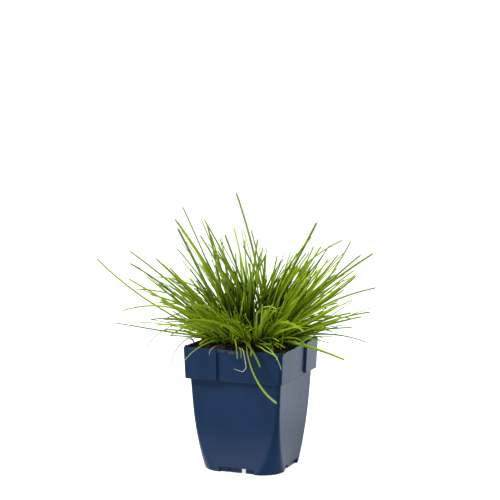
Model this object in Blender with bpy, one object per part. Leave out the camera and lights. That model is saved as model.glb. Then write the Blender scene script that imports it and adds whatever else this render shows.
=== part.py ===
"""A young tufted hair grass in a square plastic nursery pot.

Units are metres in Blender. The numbers in the tables below are millimetres and are scaled by MM.
The origin is on the ground under the middle of the pot, +Z is up, and -Y is the pot's front side.
"""

import math
import random

import bmesh
import bpy
import numpy as np
from mathutils import Matrix, Vector, geometry, noise

MM = 0.001
GAP = 0.3
SEED = 11

# The pot, in millimetres
POT_HEIGHT = 131.0
COLLAR_HEIGHT = 33.5
COLLAR_TAPER = 1.3
LIP_HEIGHT = 3.0
LIP_HALF = 54.3
COLLAR_HALF = 53.1
PATCH_HALF = 55.5
PATCH_START = 17.5
PATCH_RISE = 0.6
BODY_TOP_HALF = 49.9
BODY_BASE_HALF = 44.1
EDGE_RADIUS = 3.6
FOOT_RADIUS = 25.6
ROUNDING_STARTS = 76.0
ROUNDING_POWER = 2.2
FOOT_EDGE = 0.7
WALL = 1.6
FLOOR_TOP = 6.4
FLOOR_UNDER = 4.6
POCKET_INSET = 6.0
CORNER_STEPS = 4
BODY_LEVELS = (0.0, 1.4, 7.0, 14.0, 22.0, 31.0, 42.0, 56.0, 76.0)

# The base of the pot between its corner feet, in millimetres along a side
RECESS = (-19.5, 19.5)
RECESS_DEPTH = 2.4
RECESS_HEIGHT = 5.6
RECESS_RISE = 0.3
NOTCH_DROP = 0.2
NOTCH = (4.0, 9.6)
NOTCH_LENGTH = 12.0
BLIND_NOTCH = (-9.7, -8.3)
BLIND_DEPTH = 1.6
DRAIN_RADIUS = 4.5
DRAIN_OUT = 17.0
CUT_PAST = 5.0

# The compost, in millimetres
SOIL_EDGE = 129.6
SOIL_CROWN = 134.0
CROWN_PLATEAU = 39.0
LUMP = 1.2

# The tuft, in millimetres. The photograph looks at the pot from VIEW_TURN degrees round to its right.
VIEW_TURN = 21.66
ROOT_SPACING = 6.4
SHEATH_HEIGHT = 10.0
SHEATH_RADIUS = 1.8
LEAVES_IN_TILLER = 3
LEAD_STEPS = 6
SIDE_STEPS = 4
SAMPLES = 48
LEAF_CLEARANCE = 2.7
FAN_WIDTH = 22.0
TRIES = 200
LOW_REACH = 1.8
LOW_RISE = 30.0
REACH_X = 146.0
REACH_Y = 132.0
SPREAD_ROUNDS = 300
SPREAD_SHARE = 0.6
NUDGE = 24
NUDGE_STEP = 3
SIDE_LENGTH = (0.5, 0.88)
SIDE_SWAY = 0.1
SIDE_BOW = (0, 7)
SIDE_WIDTH = (1.5, 2.4)
LEAF_LIFT = 2.5
ROOT_LIFT = 1.2
SHEATH_TOP = 0.55
LEAF_ASIDE = 0.25
LEAF_TURN = 2.2
LEAST_HALF = 0.11


def leaf(across, depth, height, bow=2.0, width=2.1, handles=None):
    """One leaf by its tip: across the view, away from it and above the ground.

    bow is how far the middle of the leaf stands out from the straight line to its tip, on its
    upper side. A leaf that hangs over the pot's rim gives the two handles of its curve instead.
    """
    return {"tip": (across, depth, height), "bow": bow, "width": width, "handles": handles}


def shoot(root, *leaves):
    """One tiller: where it stands on the crown, across the view and away from it, and its leaves."""
    return {"root": root, "leaves": leaves}


# The leaves that show in the photograph, then some that point at the view or away from it
TILLERS = (
    shoot((17, 0), leaf(-17, 8, 289, 5, 2.3)),
    shoot((11, -2), leaf(15, -16, 234, 1, 1.8)),
    shoot((2, -6), leaf(67, -15, 259, 0, 2.8)),
    shoot((-16, 8), leaf(-74, 30, 272, 1, 1.4)),
    shoot((-9, 2), leaf(-81, 2, 261, 4, 2.1)),
    shoot((-4, 9), leaf(6, 20, 238, 2, 2.2)),
    shoot((-21, -12), leaf(-76, -35, 255, 1, 2.8)),
    shoot((-13, -19), leaf(-17, -48, 231, 1, 1.8)),
    shoot((8, -8), leaf(-49, -20, 264, 4, 2.3)),
    shoot((-25, 7), leaf(-48, 20, 254, 2, 2.0)),
    shoot((1, -19), leaf(-45, -52, 241, 11, 2.0)),
    shoot((9, -21), leaf(32, -42, 224, 11, 1.8)),
    shoot((-35, 2), leaf(-162, -10, 221, -8, 1.9), leaf(-112, 12, 200, 0, 2.8)),
    shoot((-23, -5), leaf(-128, -10, 229, 3, 2.1), leaf(-85, -30, 214, 1, 2.1)),
    shoot((-12, 13), leaf(-103, 34, 196, 18, 1.9), leaf(-76, 40, 214, 1, 1.7)),
    shoot((-22, 21), leaf(-55, 55, 207, 4, 1.9)),
    shoot((-29, 13), leaf(-108, 22, 169, 12, 1.7)),
    shoot((-26, -17), leaf(-118, -42, 193, 15, 1.6)),
    shoot((-34, -20), leaf(-103, -62, 165, 9, 1.7)),
    shoot((-38, 8), leaf(-139, 22, 161, 17, 1.9)),
    shoot((-40, -5), leaf(-146, -5, 152, 1, 2.3)),
    shoot((-38, -13), leaf(-113, -27, 126, 22, 1.4)),
    shoot((-36, -26), leaf(-85, -38, 111, 18, 1.5)),
    shoot((12, 18), leaf(56, 60, 227, 3, 1.9), leaf(27, 30, 220, 1, 1.9)),
    shoot((20, 8), leaf(83, 26, 231, 0, 2.2), leaf(66, 35, 229, 0, 1.9), leaf(73, 14, 231, 3, 2.2)),
    shoot((10, -13), leaf(93, -30, 242, 16, 2.1)),
    shoot((30, 0), leaf(104, 5, 238, -3, 2.2)),
    shoot((20, -7), leaf(125, -25, 228, 5, 2.4)),
    shoot((19, -25), leaf(75, -78, 226, 2, 2.4)),
    shoot((20, 18), leaf(112, 40, 196, -3, 2.4)),
    shoot((24, 27), leaf(93, 84, 192, 5, 2.1)),
    shoot((26, -18), leaf(126, -52, 196, 9, 2.1), leaf(128, -80, 183, 0, 2.1)),
    shoot((37, 11), leaf(107, 18, 172, -3, 2.3), leaf(107, 20, 143, 2, 1.9)),
    shoot((37, -6), leaf(114, -20, 161, 1, 2.9), leaf(120, -32, 135, 7, 1.7)),
    shoot((4, 27), leaf(-11, 62, 245, 0, 1.5)),
    shoot((30, -25), leaf(93, -70, 125, 0, 3.2, ((40, -40, 141), (66, -58, 140)))),
    shoot((-5, -36), leaf(25, -79, 82, 0, 2.6, ((-7, -62, 147), (-6, -80, 103)))),
    shoot((-13, -35), leaf(8, -68, 117, 0, 2.6, ((-12, -47, 148), (0, -62, 137)))),
    shoot((-20, -33), leaf(-15, -61, 124, 0, 2.3, ((-19, -45, 147), (-16, -58, 141)))),
    shoot((4, -37), leaf(29, -77, 116, 0, 1.9, ((8, -53, 141), (25, -77, 136)))),
    shoot((-28, -30), leaf(-69, -42, 119, 0, 1.8, ((-36, -38, 144), (-57, -49, 136)))),
    shoot((-29, -22), leaf(-54, -31, 134.5, 5, 2.5)),
    shoot((21, -33), leaf(28, -66, 134, 0, 1.7, ((28, -42, 176), (36, -60, 166)))),
    shoot((-13, -25), leaf(-60, -110, 186, 7, 2.2)),
    shoot((-5, -28), leaf(-26, -136, 176, 9, 2.4)),
    shoot((7, -28), leaf(20, -130, 190, 7, 2.2)),
    shoot((14, -32), leaf(58, -116, 168, 9, 2.0)),
    shoot((-21, -25), leaf(-84, -98, 168, 7, 2.2)),
    shoot((-4, -12), leaf(-2, -94, 214, 4, 2.2)),
    shoot((-31, 22), leaf(-112, 66, 172, 8, 2.0)),
    shoot((-12, 30), leaf(-42, 126, 188, 8, 2.2)),
    shoot((-4, 35), leaf(2, 138, 198, 8, 2.2)),
    shoot((12, 33), leaf(42, 116, 196, 6, 2.2)),
    shoot((31, 19), leaf(88, 108, 178, 8, 2.2)),
    shoot((-4, 20), leaf(-8, 92, 230, 4, 2.0)),
    shoot((19, 33), leaf(44, 84, 208, 3, 2.1)),
)

# Old straw-coloured leaves that hang over the front rim, as points across, away and above, in millimetres
DRY_LEAVES = {
    "dry_leaf_1": ((-11.5, -44.0, 133.6), (-10.4, -53.0, 133.4), (-8.8, -57.8, 131.6),
                   (-7.8, -59.6, 126.5), (-6.0, -60.0, 115.2), (-9.9, -60.0, 110.8),
                   (-18.3, -59.0, 113.8)),
    "dry_leaf_2": ((-35.0, -36.0, 133.0), (-39.0, -43.5, 133.4), (-42.5, -47.5, 131.0),
                   (-44.0, -48.5, 126.0)),
}
DRY_RADIUS = 0.55

# Cross-sections of half width one, as points along the leaf's width and above it
LEAF_PROFILE = ((-1.0, 0.0), (0.0, -0.55), (1.0, 0.0))
DRY_PROFILE = ((-1.0, 0.0), (0.0, -1.0), (1.0, 0.0), (0.0, 1.0))


def view_to_pot(across, depth, height):
    """A point given across and away from the view, in the pot's own axes and in metres."""
    turn = math.radians(VIEW_TURN)
    x = across * math.cos(turn) - depth * math.sin(turn)
    y = across * math.sin(turn) + depth * math.cos(turn)
    return Vector((x, y, height)) * MM


def new_collection(name):
    collection = bpy.data.collections.new(name)
    bpy.context.scene.collection.children.link(collection)
    return collection


def material(name, colour, roughness, metallic=0.0):
    made = bpy.data.materials.new(name)
    made.use_nodes = True
    shader = made.node_tree.nodes["Principled BSDF"]
    shader.inputs["Base Color"].default_value = (*colour, 1.0)
    shader.inputs["Roughness"].default_value = roughness
    shader.inputs["Metallic"].default_value = metallic
    return made


def add_object(name, mesh, collection, finish=None):
    made = bpy.data.objects.new(name, mesh)
    collection.objects.link(made)
    if finish:
        mesh.materials.append(finish)
    return made


def mesh_from(bm, name):
    bmesh.ops.recalc_face_normals(bm, faces=bm.faces)
    mesh = bpy.data.meshes.new(name)
    bm.to_mesh(mesh)
    bm.free()
    return mesh


def as_cutter(made):
    made.hide_render = True
    made.display_type = "WIRE"
    return made


def join_or_cut(target, other, operation, solver="EXACT"):
    step = target.modifiers.new(other.name, "BOOLEAN")
    step.object = other
    step.operation = operation
    step.solver = solver
    as_cutter(other)


# The pot
def rounded_square(half, radius, height):
    """Points round a square with round corners, in metres, from its front right corner."""
    points = []
    for corner in range(4):
        start = math.pi / 2 * (corner - 1)
        centre = Vector((math.cos(start + math.pi / 4), math.sin(start + math.pi / 4), 0))
        centre *= (half - radius) * math.sqrt(2)
        for step in range(CORNER_STEPS + 1):
            angle = start + math.pi / 2 * step / CORNER_STEPS
            offset = Vector((math.cos(angle), math.sin(angle), 0)) * radius
            points.append((centre + offset + Vector((0, 0, height))) * MM)
    return points


def loft(name, sections):
    """A closed solid through sections that all have the same number of points, lowest first."""
    bm = bmesh.new()
    rings = [[bm.verts.new(point) for point in section] for section in sections]
    for low, high in zip(rings, rings[1:]):
        for i, corner in enumerate(low):
            after = (i + 1) % len(low)
            bm.faces.new((corner, low[after], high[after], high[i]))
    bm.faces.new(reversed(rings[0]))
    bm.faces.new(rings[-1])
    return mesh_from(bm, name)


def body_half(height):
    rise = height / (POT_HEIGHT - COLLAR_HEIGHT)
    return BODY_BASE_HALF + (BODY_TOP_HALF - BODY_BASE_HALF) * rise


def body_radius(height):
    share = max(0.0, (ROUNDING_STARTS - height) / ROUNDING_STARTS)
    return EDGE_RADIUS + (FOOT_RADIUS - EDGE_RADIUS) * share**ROUNDING_POWER


def body_sections(inset, lowest):
    """Sections of the tapering body, set in from its outside by inset, from a lowest height up."""
    heights = [lowest] + [level for level in BODY_LEVELS if level > lowest + 1]
    return [
        rounded_square(body_half(z) - inset, max(body_radius(z) - inset, 1.0), z)
        for z in heights
    ]


def outer_pot():
    shoulder = POT_HEIGHT - COLLAR_HEIGHT
    lip_under = POT_HEIGHT - LIP_HEIGHT
    sections = body_sections(0.0, 0.0)
    sections[0] = rounded_square(body_half(0) - FOOT_EDGE, body_radius(0) - FOOT_EDGE, 0)
    sections += [
        rounded_square(BODY_TOP_HALF, EDGE_RADIUS, shoulder),
        rounded_square(COLLAR_HALF - COLLAR_TAPER, EDGE_RADIUS, shoulder),
        rounded_square(COLLAR_HALF, EDGE_RADIUS, lip_under),
        rounded_square(LIP_HALF, EDGE_RADIUS, lip_under),
        rounded_square(LIP_HALF, EDGE_RADIUS, POT_HEIGHT),
    ]
    return loft("pot", sections)


def inner_pot():
    """The pot's inside as a solid, past the rim, to be cut out of it."""
    shoulder = POT_HEIGHT - COLLAR_HEIGHT
    sections = body_sections(WALL, FLOOR_TOP)
    inside = COLLAR_HALF - WALL
    sections += [
        rounded_square(BODY_TOP_HALF - WALL, EDGE_RADIUS - WALL, shoulder - WALL),
        rounded_square(inside - COLLAR_TAPER, EDGE_RADIUS - WALL, shoulder + WALL),
        rounded_square(inside, EDGE_RADIUS - WALL, POT_HEIGHT),
        rounded_square(inside, EDGE_RADIUS - WALL, POT_HEIGHT + 2),
    ]
    return loft("pot_inside", sections)


def box(name, low, high, collection):
    """A box between two corners given in millimetres."""
    bm = bmesh.new()
    bmesh.ops.create_cube(bm, size=1.0)
    size = [b - a for a, b in zip(low, high)]
    middle = [(a + b) / 2 for a, b in zip(low, high)]
    bmesh.ops.scale(bm, vec=Vector(size) * MM, verts=bm.verts)
    bmesh.ops.translate(bm, vec=Vector(middle) * MM, verts=bm.verts)
    return add_object(name, mesh_from(bm, name), collection)


def collar_patch(name, side, cutters):
    """The thicker part of the collar at one corner: side is -1 front left and +1 back right."""
    low_z = POT_HEIGHT - COLLAR_HEIGHT + PATCH_RISE
    sections = [
        rounded_square(PATCH_HALF - COLLAR_TAPER, EDGE_RADIUS, low_z),
        rounded_square(PATCH_HALF, EDGE_RADIUS, POT_HEIGHT),
    ]
    patch = add_object(name, loft(name, sections), cutters)
    ends = sorted((side * PATCH_START, side * (PATCH_HALF + CUT_PAST)))
    low = (ends[0], ends[0], low_z - CUT_PAST)
    keep = box(name + "_extent", low, (ends[1], ends[1], POT_HEIGHT + CUT_PAST), cutters)
    join_or_cut(patch, keep, "INTERSECT")
    return patch


def side_turns():
    """How each side's base is laid out: a turn about Z, and whether it is mirrored along the side.

    The pot is the same about the upright plane through its two plain corners.
    """
    return ((0.0, 1), (math.pi / 2, -1), (math.pi, 1), (-math.pi / 2, -1))


def base_cutters(cutters):
    """The recess, the drain notch and the blind notch under each side."""
    made = []
    face = -BODY_BASE_HALF
    wall = face + RECESS_DEPTH
    for number, (turn, along) in enumerate(side_turns(), 1):
        def span(ends):
            return sorted((ends[0] * along, ends[1] * along))

        recess, notch, blind = span(RECESS), span(NOTCH), span(BLIND_NOTCH)
        top = RECESS_HEIGHT - NOTCH_DROP
        shapes = {
            "recess": ((recess[0], face - CUT_PAST, -2), (recess[1], wall, RECESS_HEIGHT)),
            "rise": ((recess[0] + 1, wall - 1, -3), (recess[1] - 1, wall + 3, RECESS_RISE)),
            "notch": ((notch[0], wall - 2, -4), (notch[1], wall + NOTCH_LENGTH, top)),
            "blind_notch": ((blind[0], wall - 3, -5), (blind[1], wall + BLIND_DEPTH, top - NOTCH_DROP)),
        }
        for shape, (low, high) in shapes.items():
            cutter = box(f"{shape}_{number}", low, high, cutters)
            cutter.data.transform(Matrix.Rotation(turn, 4, "Z"))
            made.append(cutter)
    return made


def underside_cutters(cutters):
    """The shallow pocket between the feet, and the round drain holes in the floor above it."""
    half, radius = body_half(0) - POCKET_INSET, body_radius(0) - POCKET_INSET
    sections = [rounded_square(half, radius, -2), rounded_square(half, radius, FLOOR_UNDER)]
    made = [add_object("underside_pocket", loft("underside_pocket", sections), cutters)]
    places = [(0.0, 0.0)] + [(sx * DRAIN_OUT, sy * DRAIN_OUT) for sx in (-1, 1) for sy in (-1, 1)]
    for number, (x, y) in enumerate(places, 1):
        bm = bmesh.new()
        bmesh.ops.create_cone(
            bm, cap_ends=True, segments=12, radius1=DRAIN_RADIUS * MM, radius2=DRAIN_RADIUS * MM,
            depth=20 * MM, matrix=Matrix.Translation(Vector((x, y, FLOOR_UNDER)) * MM),
        )
        name = f"drain_{number}"
        made.append(add_object(name, mesh_from(bm, name), cutters))
    return made


def make_pot(parts, cutters):
    plastic = material("pot_plastic", (0.030, 0.072, 0.185), 0.42)
    pot = add_object("pot", outer_pot(), parts, plastic)
    for side, place in ((-1, "front_left"), (1, "back_right")):
        join_or_cut(pot, collar_patch(f"patch_{place}", side, cutters), "UNION")
    join_or_cut(pot, add_object("pot_inside", inner_pot(), cutters), "DIFFERENCE")
    for cutter in base_cutters(cutters) + underside_cutters(cutters):
        join_or_cut(pot, cutter, "DIFFERENCE")
    return pot


# The compost
def soil_height(x, y):
    """Height of the compost, in millimetres: level with the rim, and higher round the crown."""
    out = max(abs(x), abs(y), math.hypot(x, y) * 0.86)
    share = min(1.0, max(0.0, (COLLAR_HALF - out) / (COLLAR_HALF - CROWN_PLATEAU)))
    smooth = share * share * (3 - 2 * share)
    lumps = noise.noise(Vector((x * 0.11, y * 0.11, 4.2))) * LUMP * (1 - smooth)
    return SOIL_EDGE + (SOIL_CROWN - SOIL_EDGE) * smooth + lumps


def make_soil(parts):
    compost = material("compost", (0.030, 0.017, 0.009), 0.95)
    shoulder = POT_HEIGHT - COLLAR_HEIGHT
    inset = WALL + GAP
    inside = COLLAR_HALF - inset
    radius = EDGE_RADIUS - inset
    sections = body_sections(inset, FLOOR_TOP + GAP)
    sections += [
        rounded_square(BODY_TOP_HALF - inset, radius, shoulder - inset),
        rounded_square(inside - COLLAR_TAPER, radius, shoulder + WALL + GAP),
    ]
    for share in (1.0, 0.93, 0.8, 0.64, 0.46, 0.24):
        ring = rounded_square(inside * share, radius + (1 - share) * 18, 0)
        for point in ring:
            point.z = soil_height(point.x / MM, point.y / MM) * MM
        sections.append(ring)
    return add_object("soil", loft("soil", sections), parts, compost)


# The grass
def curve_points(root, blade, steps):
    """Points along a leaf from its root to its tip, in metres, with a round bend."""
    tip = view_to_pot(*blade["tip"])
    if blade["handles"]:
        first, second = (view_to_pot(*handle) for handle in blade["handles"])
    else:
        chord = (tip - root).normalized()
        upper_side = (Vector((0, 0, 1)) - chord * chord.z).normalized()
        out = upper_side * blade["bow"] * MM * 4 / 3
        first = root.lerp(tip, 0.33) + out
        second = root.lerp(tip, 0.67) + out
    return geometry.interpolate_bezier(root, first, second, tip, steps)


def spread_roots(places):
    """Push crowded roots apart, so that each tiller has its own place on the crown."""
    apart = ROOT_SPACING * MM
    for _ in range(SPREAD_ROUNDS):
        moves = [Vector() for _ in places]
        for i, first in enumerate(places):
            for j in range(i + 1, len(places)):
                gap = first - places[j]
                if gap.length < apart:
                    push = gap.normalized() * (apart - gap.length) / 2
                    moves[i] += push
                    moves[j] -= push
        places = [place + move * SPREAD_SHARE for place, move in zip(places, moves)]
    return places


def is_clear(points, others):
    """Whether a leaf keeps LEAF_CLEARANCE from the leaves of the other tillers placed so far."""
    if not others:
        return True
    placed = np.concatenate(others)
    gaps = ((points[:, None, :] - placed[None, :, :]) ** 2).sum(axis=2)
    return gaps.min() > (LEAF_CLEARANCE * MM) ** 2


def is_near(points, lead):
    """Whether the tip of a side leaf stays close to its tiller's first leaf, so that the fan is narrow."""
    gaps = np.linalg.norm(lead - points[-1], axis=1)
    return gaps.min() < FAN_WIDTH * MM


def is_in_air(points):
    """Whether a leaf stays off the compost and the rim, and inside the tuft's outer box."""
    for x, y, z in points[3:] / MM:
        out = max(abs(x), abs(y))
        under = max(POT_HEIGHT, soil_height(x, y))
        if out < PATCH_HALF + LEAF_LIFT and z < under + LEAF_LIFT:
            return False
        if abs(x) > REACH_X or abs(y) > REACH_Y or z < POT_HEIGHT:
            return False
    return True


def side_leaf(lead, chance):
    """A shorter leaf beside a tiller's lead leaf."""
    across, depth, height = lead["tip"]
    rise = max(height - SOIL_CROWN, 8.0)
    length = chance.uniform(*SIDE_LENGTH)
    reach = math.sqrt(across**2 + depth**2 + rise**2)
    sway = [chance.gauss(0, SIDE_SWAY) * reach for _ in range(3)]
    tip = (
        across * length + sway[0],
        depth * length + sway[1],
        SOIL_CROWN + rise * length + abs(sway[2]) * 0.6,
    )
    return leaf(*tip, bow=chance.uniform(*SIDE_BOW), width=chance.uniform(*SIDE_WIDTH))


class Tuft:
    """Every tiller's root and leaves, placed so that no leaf passes through one of another tiller."""

    def __init__(self):
        places = [view_to_pot(*tiller["root"], 0) for tiller in TILLERS]
        stand = Vector((0, 0, (SOIL_CROWN + GAP + ROOT_LIFT) * MM))
        self.roots = [place + stand for place in spread_roots(places)]
        self.samples = [[] for _ in TILLERS]
        self.leaves = [[] for _ in TILLERS]
        self.grow_leads()
        self.grow_sides()

    def try_leaf(self, number, blade, steps, is_side):
        fine = np.array(curve_points(self.roots[number], blade, SAMPLES))
        if is_side and not (is_in_air(fine) and is_near(fine, self.samples[number][0])):
            return False
        others = [found for i, group in enumerate(self.samples) if i != number for found in group]
        if not is_clear(fine, others):
            return False
        self.samples[number].append(fine)
        self.leaves[number].append((curve_points(self.roots[number], blade, steps), blade["width"]))
        return True

    def grow_leads(self):
        """The leaves of the table, each moved a little towards or away from the view if it is not clear."""
        nudges = sorted(range(-NUDGE, NUDGE + 1, NUDGE_STEP), key=abs)
        for number, tiller in enumerate(TILLERS):
            for blade in tiller["leaves"]:
                across, depth, height = blade["tip"]
                moved = (dict(blade, tip=(across, depth + nudge, height)) for nudge in nudges)
                if not any(self.try_leaf(number, trial, LEAD_STEPS, False) for trial in moved):
                    print("no clear place for a leaf of tiller", number + 1, blade["tip"])

    def grow_sides(self):
        """Shorter leaves beside the first, until the tiller is full or no clear place is found."""
        chance = random.Random(SEED)
        for number, tiller in enumerate(TILLERS):
            lead = tiller["leaves"][0]
            if lead["handles"]:
                across, depth = tiller["root"]
                lead = leaf(across * LOW_REACH, depth * LOW_REACH, SOIL_CROWN + LOW_RISE)
            for _ in range(TRIES):
                if len(self.leaves[number]) >= LEAVES_IN_TILLER:
                    break
                self.try_leaf(number, side_leaf(lead, chance), SIDE_STEPS, True)


def swept_mesh(name, points, radii, profile):
    """A closed mesh swept along points, its cross-section carried along without a twist."""
    bm = bmesh.new()
    side = (points[-1] - points[0]).cross(Vector((0, 0, 1)))
    rings = []
    for i, (place, radius) in enumerate(zip(points, radii)):
        along = (points[min(i + 1, len(points) - 1)] - points[max(i - 1, 0)]).normalized()
        side = (side - along * side.dot(along)).normalized()
        above = side.cross(along)
        rings.append([bm.verts.new(place + (side * x + above * y) * radius) for x, y in profile])
    for low, high in zip(rings, rings[1:]):
        for j, corner in enumerate(low):
            after = (j + 1) % len(low)
            bm.faces.new((corner, low[after], high[after], high[j]))
    bm.faces.new(reversed(rings[0]))
    bm.faces.new(rings[-1])
    return mesh_from(bm, name)


def leaf_radii(width, steps):
    """Half widths along a leaf: narrow in the sheath, widest a third of the way up, then to a point."""
    half = width / 2 * MM
    shares = [i / (steps - 1) for i in range(steps)]
    return [max(half * min(0.62 + 1.6 * t, 1.0) * (1 - t**3), LEAST_HALF * MM) for t in shares]


def make_tiller(number, root, blades, parts, cutters, finish):
    """One shoot: its leaves joined to the sheath that they come out of."""
    name = f"tiller_{number:02d}"
    heading = Vector()
    for points, _ in blades:
        heading += (points[1] - points[0]).normalized()
    heading.normalize()
    foot = root - heading * ROOT_LIFT * MM
    bm = bmesh.new()
    turn = heading.to_track_quat("Z", "Y").to_matrix().to_4x4()
    bmesh.ops.create_cone(
        bm, cap_ends=True, segments=6, radius1=SHEATH_RADIUS * MM,
        radius2=SHEATH_RADIUS * SHEATH_TOP * MM, depth=SHEATH_HEIGHT * MM,
        matrix=Matrix.Translation(foot) @ turn @ Matrix.Translation((0, 0, SHEATH_HEIGHT / 2 * MM)),
    )
    lowest = (SOIL_CROWN + GAP) * MM
    for vertex in bm.verts:
        vertex.co.z = max(vertex.co.z, lowest)
    sheath = add_object(name, mesh_from(bm, name), parts, finish)
    aside = heading.orthogonal().normalized() * SHEATH_RADIUS * LEAF_ASIDE * MM
    for order, (points, width) in enumerate(blades, 1):
        part = f"{name}_leaf_{order}"
        start = points[0] + Matrix.Rotation(order * LEAF_TURN, 3, heading) @ aside
        route = [start] + points[1:]
        mesh = swept_mesh(part, route, leaf_radii(width, len(route)), LEAF_PROFILE)
        join_or_cut(sheath, add_object(part, mesh, cutters), "UNION", "MANIFOLD")
    return sheath


def make_grass(parts, cutters):
    fresh = material("fresh_leaf", (0.165, 0.300, 0.018), 0.5)
    tuft = Tuft()
    for number, (root, leaves) in enumerate(zip(tuft.roots, tuft.leaves), 1):
        make_tiller(number, root, leaves, parts, cutters, fresh)
    print("leaves:", sum(len(leaves) for leaves in tuft.leaves))


def make_dry_leaves(parts):
    straw = material("dry_leaf", (0.62, 0.60, 0.44), 0.7)
    for name, route in DRY_LEAVES.items():
        points = [view_to_pot(*place) for place in route]
        mesh = swept_mesh(name, points, [DRY_RADIUS * MM] * len(points), DRY_PROFILE)
        add_object(name, mesh, parts, straw)


def main():
    for old in list(bpy.data.objects):
        bpy.data.objects.remove(old)
    parts = new_collection("potted_tufted_hair_grass")
    cutters = new_collection("cutters")
    make_pot(parts, cutters)
    make_soil(parts)
    make_grass(parts, cutters)
    make_dry_leaves(parts)


main()
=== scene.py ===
# %% [markdown]
# # A potted tufted hair grass
# The object is a young clump of ornamental grass in a square plastic nursery pot. Its solids come
# from the CAD model, which fixes every size and place. This script dresses them: the pot gets its
# small moulded edges, the compost its crumbs, and each grass shoot its fine leaves.
# Everything is in metres, but the tables are in millimetres, because a person measures a leaf so.

# %% Load the frame
import math
import random

import bmesh
import bpy
import numpy as np
from mathutils import Matrix, Vector, geometry, noise


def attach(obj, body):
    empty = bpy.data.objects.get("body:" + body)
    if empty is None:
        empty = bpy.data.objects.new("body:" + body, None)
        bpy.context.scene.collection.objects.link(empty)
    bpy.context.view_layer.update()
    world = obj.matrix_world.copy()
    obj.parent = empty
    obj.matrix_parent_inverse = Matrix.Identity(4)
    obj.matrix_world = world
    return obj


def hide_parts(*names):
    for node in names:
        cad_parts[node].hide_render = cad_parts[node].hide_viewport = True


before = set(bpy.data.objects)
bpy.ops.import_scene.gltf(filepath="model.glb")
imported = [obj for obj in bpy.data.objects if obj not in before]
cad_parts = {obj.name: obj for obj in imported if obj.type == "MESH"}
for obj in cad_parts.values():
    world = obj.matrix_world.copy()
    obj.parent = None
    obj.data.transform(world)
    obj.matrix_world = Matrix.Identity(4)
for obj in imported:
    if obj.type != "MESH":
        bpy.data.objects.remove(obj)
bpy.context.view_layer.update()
MM = 0.001

# %% [markdown]
# ## The view and the light
# The picture was taken from a little to the right of the pot's front and slightly above it, with a
# long lens, on plain white. A long lens far away keeps the pot's sides nearly parallel, as a
# product picture does. The camera could be aimed with a constraint, but a position and three
# angles are simpler to read and to change.

# %% Camera
VIEW_TURN = 21.66
CAMERA_PLACE = (0.5517, -1.3949, 0.3939)
CAMERA_DIP = 6.29
LENS = 103.8


def view_to_pot(across, depth, height):
    """A point given across and away from the view, in the pot's own axes and in metres."""
    turn = math.radians(VIEW_TURN)
    x = across * math.cos(turn) - depth * math.sin(turn)
    y = across * math.sin(turn) + depth * math.cos(turn)
    return Vector((x, y, height)) * MM


camera_data = bpy.data.cameras.new("camera")
camera_data.lens = LENS
camera_data.sensor_width = 36.0
camera = bpy.data.objects.new("camera", camera_data)
camera.location = CAMERA_PLACE
camera.rotation_euler = (math.radians(90 - CAMERA_DIP), 0, math.radians(VIEW_TURN))
bpy.context.collection.objects.link(camera)
bpy.context.scene.camera = camera
bpy.context.scene.view_settings.view_transform = "Standard"
print("camera", LENS, "mm, turned", VIEW_TURN, "degrees")

# %% [markdown]
# White paper all round is the softest studio there is: light comes from everywhere, and what is
# deep inside the tuft stays dark because less of the paper can be seen from there. A world colour
# does this with no lamps at all, and painted shade on the leaves deepens it. Two lamps are added. A
# small one high at the left gives each leaf a bright side. A large one is low at the back right,
# where the pot's side mirrors it.

# %% World and lamps
world = bpy.data.worlds.new("white_paper")
world.use_nodes = True
world.node_tree.nodes["Background"].inputs["Color"].default_value = (1, 1, 1, 1)
world.node_tree.nodes["Background"].inputs["Strength"].default_value = 1.0
bpy.context.scene.world = world


def soft_lamp(name, place, target, size, power, colour=(1.0, 1.0, 1.0)):
    data = bpy.data.lights.new(name, "AREA")
    data.shape = "DISK"
    data.size = size
    data.energy = power
    data.color = colour
    lamp = bpy.data.objects.new(name, data)
    lamp.location = place
    lamp.rotation_mode = "QUATERNION"
    lamp.rotation_quaternion = (Vector(target) - Vector(place)).to_track_quat("-Z", "Y")
    bpy.context.collection.objects.link(lamp)


soft_lamp("top_left_lamp", (-0.9, -0.8, 1.4), target=(0, 0, 0.15), size=0.3, power=80.0)
soft_lamp("back_right_lamp", (0.75, 1.5, 0.62), target=(0, 0, 0.1), size=1.2, power=56.0,
          colour=(0.66, 0.88, 1.0))

# %% [markdown]
# ## Writing materials as sums
# Blender's materials are graphs of nodes. Written out node by node they are long and hard to
# read, so one small class wraps a socket and lets it be added and multiplied like a number.
# The node method makes every other kind of node: its settings come first, then its sockets.

# %% A socket that can be used in sums


class Value:
    """A socket of a finish's nodes. A sum of values adds the Math nodes that work it out."""

    def __init__(self, finish, socket):
        self.finish = finish
        self.socket = socket

    def math(self, operation, *others):
        sockets = dict(enumerate((self, *others)))
        return self.finish.node("Math", {"operation": operation}, sockets)

    def __add__(self, other):
        return self.math("ADD", other)

    __radd__ = __add__

    def __mul__(self, other):
        return self.math("MULTIPLY", other)

    __rmul__ = __mul__

    def __sub__(self, other):
        return self.math("SUBTRACT", other)

    def __rsub__(self, other):
        return self * -1 + other

    def between(self, low, high):
        """Rises smoothly from 0 at low to 1 at high."""
        settings = {"interpolation_type": "SMOOTHSTEP"}
        return self.finish.node("MapRange", settings, {"Value": self, 1: low, 2: high})

    def near(self, middle, reach):
        """Is 1 at middle and falls smoothly to 0 at reach on both sides of it."""
        return 1 - (self - middle).math("ABSOLUTE").between(0, reach)


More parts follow.
